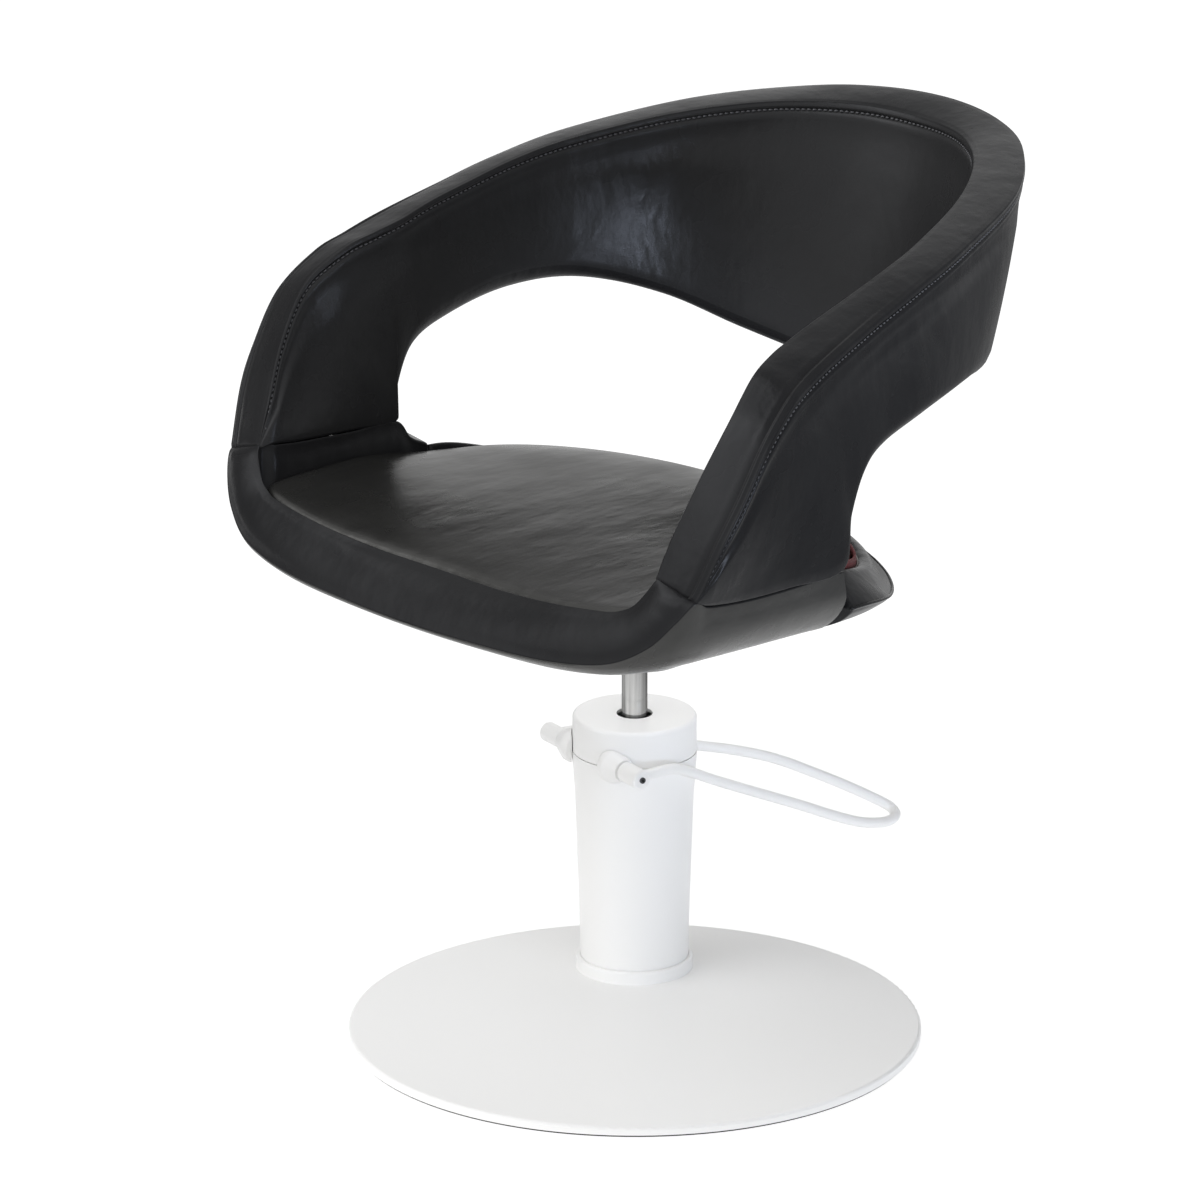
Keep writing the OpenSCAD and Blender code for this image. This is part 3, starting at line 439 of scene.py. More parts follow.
def steel_material(name):
    """Ground steel with fine lines along one direction, and streaks of tone between them."""
    colour, rough, drawn, streaks = STEELS[name]
    material, tree, shader = new_material(name)
    shader.inputs["Metallic"].default_value = 1.0
    shader.inputs["Specular Tint"].default_value = STEEL_EDGE + (1,)
    share = mapped(tree, noise(tree, *STEEL_STREAKS, drawn), 0.0, 1.0, *NARROW_MIDDLE)
    add_tones(tree, shader, share, [c * (1 - streaks) for c in colour],
              [c * (1 + streaks) for c in colour])
    lines = noise(tree, *STEEL_LINES, drawn)
    add_roughness(tree, shader, lines, rough)
    add_bump(tree, shader, lines, *STEEL_BUMP)
    return material


def plain_material(name):
    """A matt or machined finish with its colour and sheen slightly broken up."""
    colour, rough, scale, bump, metal = PLAIN_FINISHES[name]
    material, tree, shader = new_material(name)
    shader.inputs["Metallic"].default_value = metal
    patches = noise(tree, scale, *PLAIN_PATCHES)
    add_tones(tree, shader, patches, [c * (1 - PLAIN_TONE_SHARE) for c in colour],
              [c * (1 + PLAIN_TONE_SHARE) for c in colour])
    add_roughness(tree, shader, patches, (rough - PLAIN_ROUGH_STEP, rough + PLAIN_ROUGH_STEP))
    add_bump(tree, shader, noise(tree, scale * PLAIN_GRAIN_TIMES, *PLAIN_GRAIN), bump, PLAIN_DEPTH)
    return material


TUB_LEATHER = leather("leather_tub", TUB_IOR, TUB_TINTS, TUB_SHEEN, CREASES, TUB_DRAWN, TUB_ROUGH)
# A lighter copy of the tub's leather for the inner panel, with painted reflected light in its tone
INNER_PAINTED_LIGHT_LEATHER = leather("leather_inner_painted_light", TUB_IOR, INNER_PAINTED_LIGHT_TINTS, TUB_SHEEN, CREASES, TUB_DRAWN,
                        TUB_ROUGH)
SEAT_LEATHER = leather("leather_seat", SEAT_IOR, SEAT_TINTS, SEAT_SHEEN, CREASES, SEAT_DRAWN,
                       SEAT_ROUGH)
# A lighter copy of the leather for the side and underside panels, with painted floor light in its
# tone
SIDE_FLOOR_LIT_LEATHER = leather("leather_side_painted_floor_light", SIDE_IOR, SIDE_FLOOR_LIGHT_TINTS, SEAT_SHEEN, SIDE_CREASES, EVEN,
                       TUB_ROUGH)
THREAD = thread_material()
PAINT = paint_material()


# Tub: its edges as shares of half the width, of the back's reach and of its rise. The
# rim runs from the front's middle round the corner and up the arm to the back's middle.
# Its seam across lies at CROSS_SEAM. The tub starts there, and the shell ends past it.
RIM_IN_SHARES = [
    (0, -0.593, -0.073), (0.251, -0.602, -0.067), (0.473, -0.609, -0.047),
    (0.657, -0.600, -0.024), (0.720, -0.590, -0.008), (0.763, -0.579, 0.023),
    (0.808, -0.553, 0.103), (0.825, -0.514, 0.237), (0.852, -0.451, 0.417),
    (0.861, -0.370, 0.580), (0.825, -0.277, 0.677), (0.796, -0.198, 0.717),
    (0.781, -0.128, 0.743), (0.775, -0.047, 0.777), (0.763, 0.051, 0.810),
    (0.740, 0.195, 0.857), (0.695, 0.337, 0.893), (0.577, 0.558, 0.937),
    (0.411, 0.740, 0.963), (0.210, 0.860, 0.967), (0, 0.898, 0.963),
]
RIM_OUT_SHARES = [
    (0, -0.700, -0.217), (0.300, -0.694, -0.211), (0.545, -0.679, -0.198),
    (0.735, -0.650, -0.165), (0.850, -0.612, -0.095), (0.915, -0.576, -0.007),
    (0.948, -0.540, 0.055), (0.985, -0.484, 0.237), (1, -0.433, 0.360),
    (1, -0.360, 0.517), (0.976, -0.267, 0.623), (0.953, -0.198, 0.667),
    (0.938, -0.128, 0.703), (0.920, -0.047, 0.737), (0.896, 0.058, 0.777),
    (0.864, 0.209, 0.830), (0.805, 0.400, 0.883), (0.657, 0.681, 0.937),
    (0.435, 0.881, 0.973), (0.228, 0.970, 0.993), (0, 1, 1),
]
CROSS_SEAM = 6
# Lower edges of the tub from the seam across to the back's middle
FOOT_IN_SHARES = [
    (0.803, -0.551, 0.098), (0.785, -0.515, 0.105), (0.781, -0.456, 0.095),
    (0.781, -0.372, 0.085), (0.781, -0.279, 0.075), (0.784, -0.150, 0.062),
    (0.784, -0.156, 0.130), (0.781, -0.105, 0.300), (0.769, 0.012, 0.373),
    (0.737, 0.174, 0.423), (0.672, 0.340, 0.417), (0.547, 0.512, 0.327),
    (0.399, 0.633, 0.207), (0.213, 0.709, 0.133), (0, 0.735, 0.107),
]
FOOT_OUT_SHARES = [
    (0.944, -0.538, 0.048), (0.943, -0.498, 0.030), (0.942, -0.435, 0.016),
    (0.941, -0.353, 0.006), (0.941, -0.244, 0.002), (0.938, -0.078, 0.004),
    (0.932, -0.047, 0.167), (0.929, 0, 0.293), (0.914, 0.070, 0.352),
    (0.882, 0.221, 0.398), (0.802, 0.391, 0.410), (0.675, 0.570, 0.392),
    (0.488, 0.716, 0.300), (0.254, 0.819, 0.240), (0, 0.856, 0.207),
]
# Radius of the lower edge's rounding at the same stations, in millimetres
FOOT_ROUND = [2, 2, 2, 2, 2, 2, 6, 12, 15, 15, 14, 14, 18, 18, 18]

RIM_IN = shares_to_points(RIM_IN_SHARES)
RIM_OUT = shares_to_points(RIM_OUT_SHARES)
FOOT_IN = shares_to_points(FOOT_IN_SHARES)
FOOT_OUT = shares_to_points(FOOT_OUT_SHARES)
BACK_MIDDLE = len(RIM_IN) - 1

# A sewn edge seen along the panel, from the rim's edge down: distance and sinking, in
# millimetres
EDGE_SEAM = [
    (4.0, -1.1), (5.4, -0.7), (6.4, 0.8), (7.4, 2.1), (8.6, 2.0), (9.8, 0.5), (11.6, -0.8),
    (14.0, -1.1), (18.0, -0.8), (23.0, 0.0),
]
# Rows of points below it, and the first of them, over which the padding swells up
PANEL_ROWS = 16
SWELL_ROWS = 3
PANEL_SWELL = 3.5 * MM
# A lower panel or a narrower face has its sewn edge or fold made smaller.
FULL_PANEL = 60 * MM
FULL_FACE = 60 * MM
RIM_ROUND = 3.2 * MM
RIM_CROWN = 1.5 * MM
# Across the rim's face from each edge: distance, and rise of the beaded edge's fold, in
# millimetres. The fold is on the outer edge of the arms, and fades between the stations.
RIM_FOLD = [(2.4, 1.0), (4.4, 0.9), (6.0, -1.1), (7.4, -1.0), (11.5, 0.6)]
FOLD_FADES = (11.5, 15.0)
FACE_STEPS = 6
CORNER_STEPS = 4
FOOT_STEPS = 5
# The straights beside the foot's roundings, as a share of the panels
FOOT_LEG_SHARE = 0.3
STATION_STEPS = 12
# How far to each side the run of a band is read, in stations
NEAR_BY = 0.05
# An end that meets another piece is drawn in by this much.
END_INSET = 1.5 * MM


def band_frame(inner_edge, outer_edge, t):
    """Edges of a band at a station, the way across it and the way out of its face."""
    inner, outer = at(inner_edge, t), at(outer_edge, t)
    before, after = (at(inner_edge, s) + at(outer_edge, s) for s in (t - NEAR_BY, t + NEAR_BY))
    across = unit(outer - inner)
    out = unit(np.cross(unit(after - before), across))
    return inner, outer, across, out


def full_share(top, foot):
    """How much of a full sewn edge a panel has room for."""
    return min(1.0, np.linalg.norm(foot - top) / FULL_PANEL)


def panel(top, foot, out, clear):
    """Points down a padded panel, from below the top's rounding to the foot's."""
    length = np.linalg.norm(foot - top)
    down = (foot - top) / length
    out = unit(out - down * out.dot(down))
    scale = full_share(top, foot)
    points = []
    for distance, sink in EDGE_SEAM:
        points.append(top + down * distance * MM * scale - out * sink * MM * scale)
    start = EDGE_SEAM[-1][0] * MM * scale
    end = length - clear * scale
    for k in range(1, PANEL_ROWS + 1):
        distance = start + (end - start) * k / PANEL_ROWS
        swell = PANEL_SWELL * arch(distance / length) * min(1.0, k / SWELL_ROWS)
        points.append(top + down * distance + out * swell * scale)
    return points


def rim_face(t, inner, outer, out):
    """Points across the rim's face: a low crown, and a fold beside the outer edge."""
    width = np.linalg.norm(outer - inner)
    across = (outer - inner) / width
    scale = min(1.0, width / FULL_FACE) * MM
    fold_share = 1 - smoothstep(*FOLD_FADES, t)
    edge_places = [RIM_ROUND + place * scale for place, _ in RIM_FOLD]
    start = edge_places[-1]
    places = list(edge_places)
    places += [start + (width - 2 * start) * k / FACE_STEPS for k in range(1, FACE_STEPS)]
    places += [width - place for place in reversed(edge_places)]
    rises = [RIM_CROWN * arch(place / width) for place in places]
    for k, (_, rise) in enumerate(RIM_FOLD):
        rises[-1 - k] += rise * scale * fold_share
    return [inner + across * place + out * rise for place, rise in zip(places, rises)]


def tub_ring(t):
    """Section of the tub: the rim, the outer panel, the foot and the inner panel."""
    inner, outer, across, out = band_frame(RIM_IN, RIM_OUT, t)
    s = t - CROSS_SEAM
    foot_in, foot_out = at(FOOT_IN, s), at(FOOT_OUT, s)
    foot_round = at(FOOT_ROUND, s) * MM
    if out.dot(inner - foot_in) < 0:
        out = -out
    in_top = inner + unit(foot_in - inner) * RIM_ROUND * full_share(inner, foot_in)
    out_top = outer + unit(foot_out - outer) * RIM_ROUND * full_share(outer, foot_out)
    above_in = foot_in + (inner - foot_in) * FOOT_LEG_SHARE
    above_out = foot_out + (outer - foot_out) * FOOT_LEG_SHARE
    ring = fillet(in_top, inner, outer, RIM_ROUND, CORNER_STEPS)
    ring += rim_face(t, inner, outer, out)
    ring += fillet(inner, outer, out_top, RIM_ROUND, CORNER_STEPS)
    ring += panel(outer, foot_out, across, foot_round)
    ring += fillet(above_out, foot_out, foot_in, foot_round, FOOT_STEPS)[1:]
    ring += fillet(foot_out, foot_in, above_in, foot_round, FOOT_STEPS)[:-1]
    ring += panel(inner, foot_in, -across, foot_round)[::-1]
    return np.array(ring)


def give_painted_light_leather(piece, material, sections, size, first, last):
    """Gives the faces between two points of every section a lighter copy of the leather, whose
    tone is painted light.
    """
    piece.data.materials.append(material)
    for k, face in enumerate(piece.data.polygons[: sections * size]):
        if first <= k % size < last:
            face.material_index = 1


def inset_ring(ring):
    """A ring drawn in towards its middle."""
    centre = ring.mean(0)
    return np.array([p + unit(centre - p) * END_INSET for p in ring])


def build_tub():
    steps = (BACK_MIDDLE - CROSS_SEAM) * STATION_STEPS
    half = [tub_ring(t) for t in np.linspace(CROSS_SEAM, BACK_MIDDLE, steps + 1)]
    half[0] = inset_ring(half[0])
    piece = loft("tub_cover", mirrored(half), TUB_LEATHER)
    size = len(half[0])
    inner_panel = PANEL_ROWS + len(EDGE_SEAM)
    # The inner panel gets the lighter leather: painted light on the tub's inner side.
    give_painted_light_leather(piece, INNER_PAINTED_LIGHT_LEATHER, 2 * steps, size, size - inner_panel, size)
    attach(piece, "seat")
    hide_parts("tub_band")


# Shell: its upper edges are the rim's as far as the seam across, and then run on along
# the side seams. The other rows are the section's corners at the same stations.
SIDE_IN_SHARES = [
    (0.785, -0.515, 0.103), (0.781, -0.456, 0.093), (0.781, -0.372, 0.083),
    (0.781, -0.279, 0.073), (0.784, -0.152, 0.064), (0.785, -0.104, -0.008),
    (0.786, -0.049, -0.050),
]
SIDE_OUT_SHARES = [
    (0.943, -0.498, 0.028), (0.942, -0.435, 0.014), (0.941, -0.353, 0.004),
    (0.941, -0.244, 0.000), (0.939, -0.130, 0.000), (0.938, -0.095, 0.000),
    (0.938, -0.076, 0.000),
]
BELLY_SHARES = [
    (0, -0.693, -0.232), (0.292, -0.686, -0.229), (0.535, -0.669, -0.219),
    (0.716, -0.640, -0.195), (0.825, -0.603, -0.160), (0.880, -0.568, -0.130),
    (0.908, -0.535, -0.108), (0.920, -0.490, -0.105), (0.923, -0.430, -0.107),
    (0.923, -0.350, -0.108), (0.923, -0.244, -0.110), (0.923, -0.120, -0.113),
    (0.923, -0.080, -0.115), (0.923, -0.060, -0.115),
]
TURN_SHARES = [
    (0, -0.672, -0.247), (0.284, -0.664, -0.245), (0.515, -0.645, -0.242),
    (0.680, -0.615, -0.228), (0.775, -0.580, -0.208), (0.825, -0.550, -0.192),
    (0.852, -0.520, -0.180), (0.862, -0.480, -0.179), (0.864, -0.430, -0.181),
    (0.864, -0.350, -0.186), (0.864, -0.244, -0.192), (0.864, -0.120, -0.199),
    (0.864, -0.090, -0.202), (0.864, -0.075, -0.203),
]
UNDER_SHARES = [
    (0, -0.628, -0.255), (0.270, -0.622, -0.253), (0.480, -0.605, -0.250),
    (0.620, -0.575, -0.243), (0.700, -0.540, -0.236), (0.740, -0.510, -0.231),
    (0.758, -0.485, -0.229), (0.763, -0.460, -0.230), (0.763, -0.420, -0.232),
    (0.763, -0.350, -0.236), (0.763, -0.244, -0.240), (0.763, -0.120, -0.244),
    (0.763, -0.100, -0.245), (0.763, -0.090, -0.245),
]
LEDGE_SHARES = [
    (0, -0.585, 0), (0.248, -0.592, 0), (0.464, -0.592, 0), (0.622, -0.570, 0),
    (0.675, -0.553, 0), (0.712, -0.530, 0), (0.735, -0.505, 0),
    (0.748, -0.475, 0), (0.756, -0.435, 0), (0.762, -0.345, 0),
    (0.766, -0.244, 0), (0.772, -0.120, 0), (0.775, -0.075, 0), (0.776, -0.049, 0),
]
LIP_SHARES = [
    (0, -0.547, -0.267), (0.240, -0.546, -0.267), (0.444, -0.540, -0.267),
    (0.580, -0.526, -0.267), (0.650, -0.500, -0.267), (0.685, -0.475, -0.267),
    (0.700, -0.450, -0.267), (0.704, -0.430, -0.267), (0.704, -0.400, -0.267),
    (0.704, -0.340, -0.267), (0.704, -0.244, -0.267), (0.704, -0.120, -0.267),
    (0.704, -0.075, -0.267), (0.704, -0.049, -0.267),
]
SHELL_IN = np.concatenate([RIM_IN[: CROSS_SEAM + 1], shares_to_points(SIDE_IN_SHARES)])
SHELL_OUT = np.concatenate([RIM_OUT[: CROSS_SEAM + 1], shares_to_points(SIDE_OUT_SHARES)])
BELLY = shares_to_points(BELLY_SHARES)
TURN = shares_to_points(TURN_SHARES)
UNDER = shares_to_points(UNDER_SHARES)
LEDGE = shares_to_points(LEDGE_SHARES)
LIP = shares_to_points(LIP_SHARES)
SHELL_END = len(SHELL_IN) - 1
SHELL_SWELL = 6 * MM
SIDE_ROUND = 2.5 * MM
# The upper face is open to view in front of the seam across, and ends about there.
FACE_FADES = (CROSS_SEAM - 0.6, CROSS_SEAM + 0.2)
SHELL_FACE_STEPS = 10
# The outer seam's rounding as a share of the upper edge's, the start of the curve below
# it on the way down to the belly, and the part of that curve that is read
SEAM_ROUND_SHARE = 0.7
CURVE_START_SHARE = 0.12
CURVE_FROM = 0.15
CURVE_POINTS = 14
# Places in a section of its first point past the outer seam, and of its lip
SEAM_POINT = SHELL_FACE_STEPS - 1 + 2 * (CORNER_STEPS + 1) - CORNER_STEPS // 2
LIP_POINT = SHELL_FACE_STEPS - 1 + 2 * (CORNER_STEPS + 1) + CURVE_POINTS


def shell_ring(t):
    """Section of the shell: the upper face, the side, the underside and the ledge."""
    inner, outer, _, out = band_frame(SHELL_IN, SHELL_OUT, t)
    belly, turn, under = at(BELLY, t), at(TURN, t), at(UNDER, t)
    lip, ledge = at(LIP, t), at(LEDGE, t)
    if out[2] < 0:
        out = -out
    open_share = 1 - smoothstep(*FACE_FADES, t)
    top_round = RIM_ROUND * open_share + SIDE_ROUND * (1 - open_share)
    inner_foot = at_height(inner, BOARD_TOP_Z)
    ring = fillet(inner_foot, inner, outer, top_round, CORNER_STEPS)
    reach = top_round / np.linalg.norm(outer - inner)
    for k in range(1, SHELL_FACE_STEPS):
        share = reach + (1 - 2 * reach) * k / SHELL_FACE_STEPS
        swell = SHELL_SWELL * open_share * arch(share)
        ring.append(inner + (outer - inner) * share + out * swell)
    ring += fillet(inner, outer, belly, top_round * SEAM_ROUND_SHARE, CORNER_STEPS)
    curve = [outer + (belly - outer) * CURVE_START_SHARE, belly, turn, under]
    ring += list(spline(curve, np.linspace(CURVE_FROM, len(curve) - 1, CURVE_POINTS)))
    ring += [lip, at_height(lip, BOARD_FOOT_Z), at_height(ledge, BOARD_FOOT_Z),
             at_height(ledge, BOARD_TOP_Z), inner_foot]
    return np.array(ring)


def build_shell():
    steps = SHELL_END * STATION_STEPS
    half = [shell_ring(t) for t in np.linspace(0, SHELL_END, steps + 1)[::-1]]
    half[0] = inset_ring(half[0])
    piece = loft("shell_cover", mirrored(half), TUB_LEATHER)
    # The side and underside panels get the lighter leather: painted light from the floor.
    give_painted_light_leather(piece, SIDE_FLOOR_LIT_LEATHER, 2 * steps, len(half[0]), SEAM_POINT, LIP_POINT)
    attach(piece, "seat")
    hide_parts("seat_shell")


# Cushion: its outline, and the heights of its upper face
SIDE_END_Y = -20 * MM
SEAT_REAR_Y = 150 * MM
CUSHION_HALF = 265 * MM
CUSHION_FRONT = 235 * MM
CUSHION_MIDDLE = np.array([0, -50 * MM, 0])
SEAT_MID_Z = 488 * MM
SIDE_RISE = 12 * MM
FRONT_FALL = 9 * MM
SIDE_FALL = 9 * MM
REAR_FALL = 17 * MM
# The sides' rise fades and their fall begins between these places along y.
SIDES_FADE = (-140 * MM, 10 * MM)
OUTLINE_SHARES = [
    (0, -0.593, 0), (0.251, -0.602, 0), (0.473, -0.609, 0), (0.657, -0.600, 0),
    (0.735, -0.585, 0), (0.770, -0.560, 0), (0.781, -0.510, 0), (0.782, -0.400, 0),
    (0.784, -0.200, 0), (0.784, -0.047, 0),
]
OUTLINE_POINTS = 64
CUSHION_REAR_STEPS = 32
# All round, the cushion stays clear of the shell. Its foot has an inset and a height over
# the board, its edge an inset and a drop below the upper face. All are in millimetres.
CUSHION_CLEAR = 0.6
CUSHION_FOOT = [(8.0, 0.3), (1.0, 4.0)]
CUSHION_EDGE = [(0.0, 16.0), (0.8, 9.0), (3.0, 4.2), (7.0, 1.6), (13.0, 0.4), (22.0, 0.0)]
CROWN_RINGS = 26


def cushion_outline():
    """Outline seen from above: the front and sides from the shares, the rear half round."""
    front = shares_to_points(OUTLINE_SHARES)
    half = list(spline(front, np.linspace(0, len(front) - 1, OUTLINE_POINTS)))
    for k in range(1, CUSHION_REAR_STEPS + 1):
        turn = math.pi / 2 * k / CUSHION_REAR_STEPS
        y = SIDE_END_Y + (SEAT_REAR_Y - SIDE_END_Y) * math.sin(turn)
        half.append(np.array([front[-1][0] * math.cos(turn), y, SEAM_Z]))
    return mirrored(half)[:-1]


def seat_top(x, y):
    """Height of the cushion's upper face: a shallow dish that falls to front and rear."""
    across = min(abs(x) / CUSHION_HALF, 1.0)
    front = min(max((SIDE_END_Y - y) / CUSHION_FRONT, 0.0), 1.0)
    behind = min(max((y - SIDE_END_Y) / (SEAT_REAR_Y - SIDE_END_Y), 0.0), 1.0)
    round_rear = min(across ** 2 + behind ** 2, 1.0)
    rear = smoothstep(*SIDES_FADE, y)
    height = SEAT_MID_Z + SIDE_RISE * across ** 2 * (1 - rear)
    height -= FRONT_FALL * front ** 3 * (1 - across ** 4)
    height -= (SIDE_FALL + (REAR_FALL - SIDE_FALL) * behind) * round_rear ** 2 * rear
    return height


def cushion_ring(outline, inset, drop):
    """The outline drawn in towards the middle, on the upper face or below it."""
    points = []
    for corner in outline:
        flat = at_height(corner, 0)
        place = flat + unit(CUSHION_MIDDLE - flat) * (inset + CUSHION_CLEAR) * MM
        points.append(at_height(place, seat_top(place[0], place[1]) - drop * MM))
    return np.array(points)


def build_cushion():
    outline = cushion_outline()
    rings = []
    for inset, height in CUSHION_FOOT:
        foot = cushion_ring(outline, inset, 0)
        foot[:, 2] = BOARD_TOP_Z + height * MM
        rings.append(foot)
    rings += [cushion_ring(outline, inset, drop) for inset, drop in CUSHION_EDGE]
    edge = rings[-1]
    for k in range(1, CROWN_RINGS):
        crown = CUSHION_MIDDLE + (edge - CUSHION_MIDDLE) * (1 - k / CROWN_RINGS)
        crown[:, 2] = [seat_top(x, y) for x, y, _ in crown]
        rings.append(crown)
    piece = loft("cushion_cover", rings, SEAT_LEATHER)
    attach(piece, "seat")
    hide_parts("seat_cushion")


# Rear panel round the back of the seat: a half ring from side to side. Its section at
# the middle of the rear (half width, reach, height) and at the sides (half width,
# height), in millimetres, from the crest outwards and down.
REAR_SECTION = [
    (265, 150, 452), (272, 158, 457), (281, 168, 456), (287, 173, 450), (295, 181, 440),
    (302, 188, 433), (301, 187, 430), (295, 182, 427), (281, 172, 422), (260, 158, 419),
    (238, 130, 418),
]
SIDE_SECTION = [
    (265, 477), (268, 482), (274, 481), (286, 475), (300, 467), (311, 458), (310, 455),
    (305, 449), (290, 438), (262, 426), (238, 420),
]
# How soon the section of the sides gives way to that of the rear
BLEND_POWER = 10
REAR_GAP = 1 * MM
REAR_FOOT_DEPTH = 16 * MM
REAR_STEPS = 96
REAR_TURNS = [math.pi * k / REAR_STEPS for k in range(REAR_STEPS + 1)]
SECTION_POINTS = 60
# The piping stands on the section's widest corner, this many millimetres further out.
PIPING_INDEX = 5
PIPING_OUT = 0.4
PIPING_RADIUS = 1.6 * MM
PIPING_SIDES = 10


def rear_point(turn, index, out=0.0):
    """A corner of the rear panel's section, at a turn counted from +X."""
    rear, side = REAR_SECTION[index], SIDE_SECTION[index]
    side_share = abs(math.cos(turn)) ** BLEND_POWER
    half = rear[0] * (1 - side_share) + side[0] * side_share + out
    reach = (rear[1] + out) * MM - SIDE_END_Y
    z = rear[2] * (1 - side_share) + side[1] * side_share
    y = SIDE_END_Y + REAR_GAP + reach * math.sin(turn)
    return np.array([half * MM * math.cos(turn), y, z * MM])


def rear_ring(turn):
    """Section of the rear panel, closed below by its foot on the board."""
    corners = [rear_point(turn, index) for index in range(len(REAR_SECTION))]
    upper = list(spline(corners, np.linspace(0, len(corners) - 1, SECTION_POINTS)))
    foot_z = BOARD_TOP_Z - REAR_FOOT_DEPTH
    return np.array(upper + [at_height(corners[-1], foot_z), at_height(corners[0], foot_z)])


def build_rear_panel():
    piece = loft("rear_cover", [rear_ring(turn) for turn in REAR_TURNS], TUB_LEATHER)
    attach(piece, "seat")
    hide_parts("rear_panel")


def build_piping():
    path = [rear_point(turn, PIPING_INDEX, PIPING_OUT) for turn in REAR_TURNS]
    piping = loft("rear_piping", tube_rings(path, PIPING_RADIUS, PIPING_SIDES), TUB_LEATHER)
    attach(piping, "seat")


# Trim between cushion and rear panel: its sections as steps out and up, in millimetres,
# and its ends as bearings from +X. The far end is tucked in sooner.
RED_SECTION = [(0.5, 0.8), (3.4, 1.2), (3.8, 7.5), (3.2, 12.0), (0.9, 12.8), (0.5, 6.5)]
PALE_SECTION = [(3.6, 0.6), (7.0, 0.8), (7.3, 2.6), (6.4, 4.4), (4.0, 4.6), (3.7, 2.5)]
TRIM_FROM = 10
TRIM_TO = 138
TRIM_ROWS = 73


def trim_strip(name, section, material):
    rows = []
    for turn in np.radians(np.linspace(TRIM_FROM, TRIM_TO, TRIM_ROWS)):
        base = rear_point(turn, 0)
        out = np.array([math.cos(turn), math.sin(turn), 0])
        up = np.array([0, 0, 1])
        rows.append([base + out * o * MM + up * u * MM for o, u in section])
    piece = loft(name, rows, material)
    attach(piece, "seat")
    return piece


def build_rear_strip():
    red = trim_strip("rear_trim", RED_SECTION, plain_material("red_trim"))
    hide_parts("rear_strip")
    trim_strip("rear_trim_edge", PALE_SECTION, plain_material("pale_trim"))


# Stitches in the groove of the sewn edges: how far they lie in the panel and below the
# rim's edge, in millimetres, and the station where their row starts
STITCH_SINK = 0.9
STITCH_BELOW = 8.0
STITCH_FROM = CROSS_SEAM + 0.5
STITCH_PATH_POINTS = 240
STITCH_LENGTH = 3.8 * MM
STITCH_PITCH = 5.4 * MM
STITCH_RADIUS = 1.0 * MM
STITCH_SIDES = 6
# Along one stitch: shares of its length and of its radius
STITCH_SHARES = [(0.0, 0.35), (0.2, 0.9), (0.5, 1.0), (0.8, 0.9), (1.0, 0.35)]
# A ring with this share of the radius lies on the path, and a thicker one further out.
STITCH_PATH_SHARE = 0.6
# How far ahead the path's direction is read
STITCH_AHEAD = 0.1 * MM


def edge_path(rim, foot):
    """Points along the sewn edge below the rim, and the ways out of the panel."""
    points, outs = [], []
    for t in np.linspace(STITCH_FROM, BACK_MIDDLE, STITCH_PATH_POINTS):
        across = band_frame(RIM_IN, RIM_OUT, t)[2]
        top = at(rim, t)
        down = unit(at(foot, t - CROSS_SEAM) - top)
        side = across if rim is RIM_OUT else -across
        side = unit(side - down * side.dot(down))
        points.append(top + down * STITCH_BELOW * MM - side * STITCH_SINK * MM)
        outs.append(side)
    return mirrored(points), mirrored(outs)


def read_along(where, lengths, rows):
    """A row of vectors read at a length along the path."""
    return np.array([np.interp(where, lengths, column) for column in rows.T])


def stitch_rings(start, lengths, path, outs):
    """Rings of one short thread that starts at a length along the path."""
    angles = [2 * math.pi * k / STITCH_SIDES for k in range(STITCH_SIDES)]
    rings = []
    for place_share, thick_share in STITCH_SHARES:
        where = start + STITCH_LENGTH * place_share
        centre = read_along(where, lengths, path)
        out = unit(read_along(where, lengths, outs))
        ahead = read_along(where + STITCH_AHEAD, lengths, path) - centre
        side = unit(np.cross(unit(ahead), out))
        centre = centre + out * STITCH_RADIUS * (thick_share - STITCH_PATH_SHARE)
        thick = STITCH_RADIUS * thick_share
        rings.append([centre + thick * (math.cos(a) * side + math.sin(a) * out) for a in angles])
    return rings


def stitch_row(name, path, outs):
    """Short threads laid end to end along a path."""
    lengths = np.concatenate([[0], np.cumsum(np.linalg.norm(np.diff(path, axis=0), axis=1))])
    points, faces = [], []
    for start in np.arange(0, lengths[-1] - STITCH_LENGTH, STITCH_PITCH):
        rings = stitch_rings(start, lengths, path, outs)
        base = len(points)
        points += [point for ring in rings for point in ring]
        faces += skin_faces(len(rings), STITCH_SIDES, base)
        faces.append(tuple(range(base + STITCH_SIDES - 1, base - 1, -1)))
        faces.append(tuple(range(len(points) - STITCH_SIDES, len(points))))
    piece = make_mesh(name, points, faces, THREAD)
    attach(piece, "seat")


def build_stitches():
    stitch_row("stitch_out", *edge_path(RIM_OUT, FOOT_OUT))
    stitch_row("stitch_in", *edge_path(RIM_IN, FOOT_IN))


# Foot lever: the bent rod between the hubs, as shares of half its width, of its reach
# and of its drop
BAIL_SHARES = [
    (1, 0.01, 0), (1, 0.06, -0.006), (0.99, 0.12, -0.004), (0.94, 0.18, 0.06),
    (0.84, 0.29, 0.21), (0.70, 0.445, 0.41), (0.55, 0.60, 0.61), (0.41, 0.75, 0.81),
    (0.31, 0.85, 0.925), (0.22, 0.935, 0.98), (0.07, 0.99, 0.985), (-0.11, 1, 0.955),
    (-0.21, 0.965, 0.89), (-0.29, 0.88, 0.755), (-0.38, 0.78, 0.61), (-0.48, 0.66, 0.45),
    (-0.60, 0.545, 0.345), (-0.72, 0.43, 0.265), (-0.86, 0.26, 0.14), (-0.98, 0.10, 0.02),
    (-1, 0.01, 0),
]
BAIL_HALF = 74 * MM
BAIL_REACH = 352 * MM
BAIL_DROP = 131 * MM
BAIL_RADIUS = 5.2 * MM
BAIL_SIDES = 20
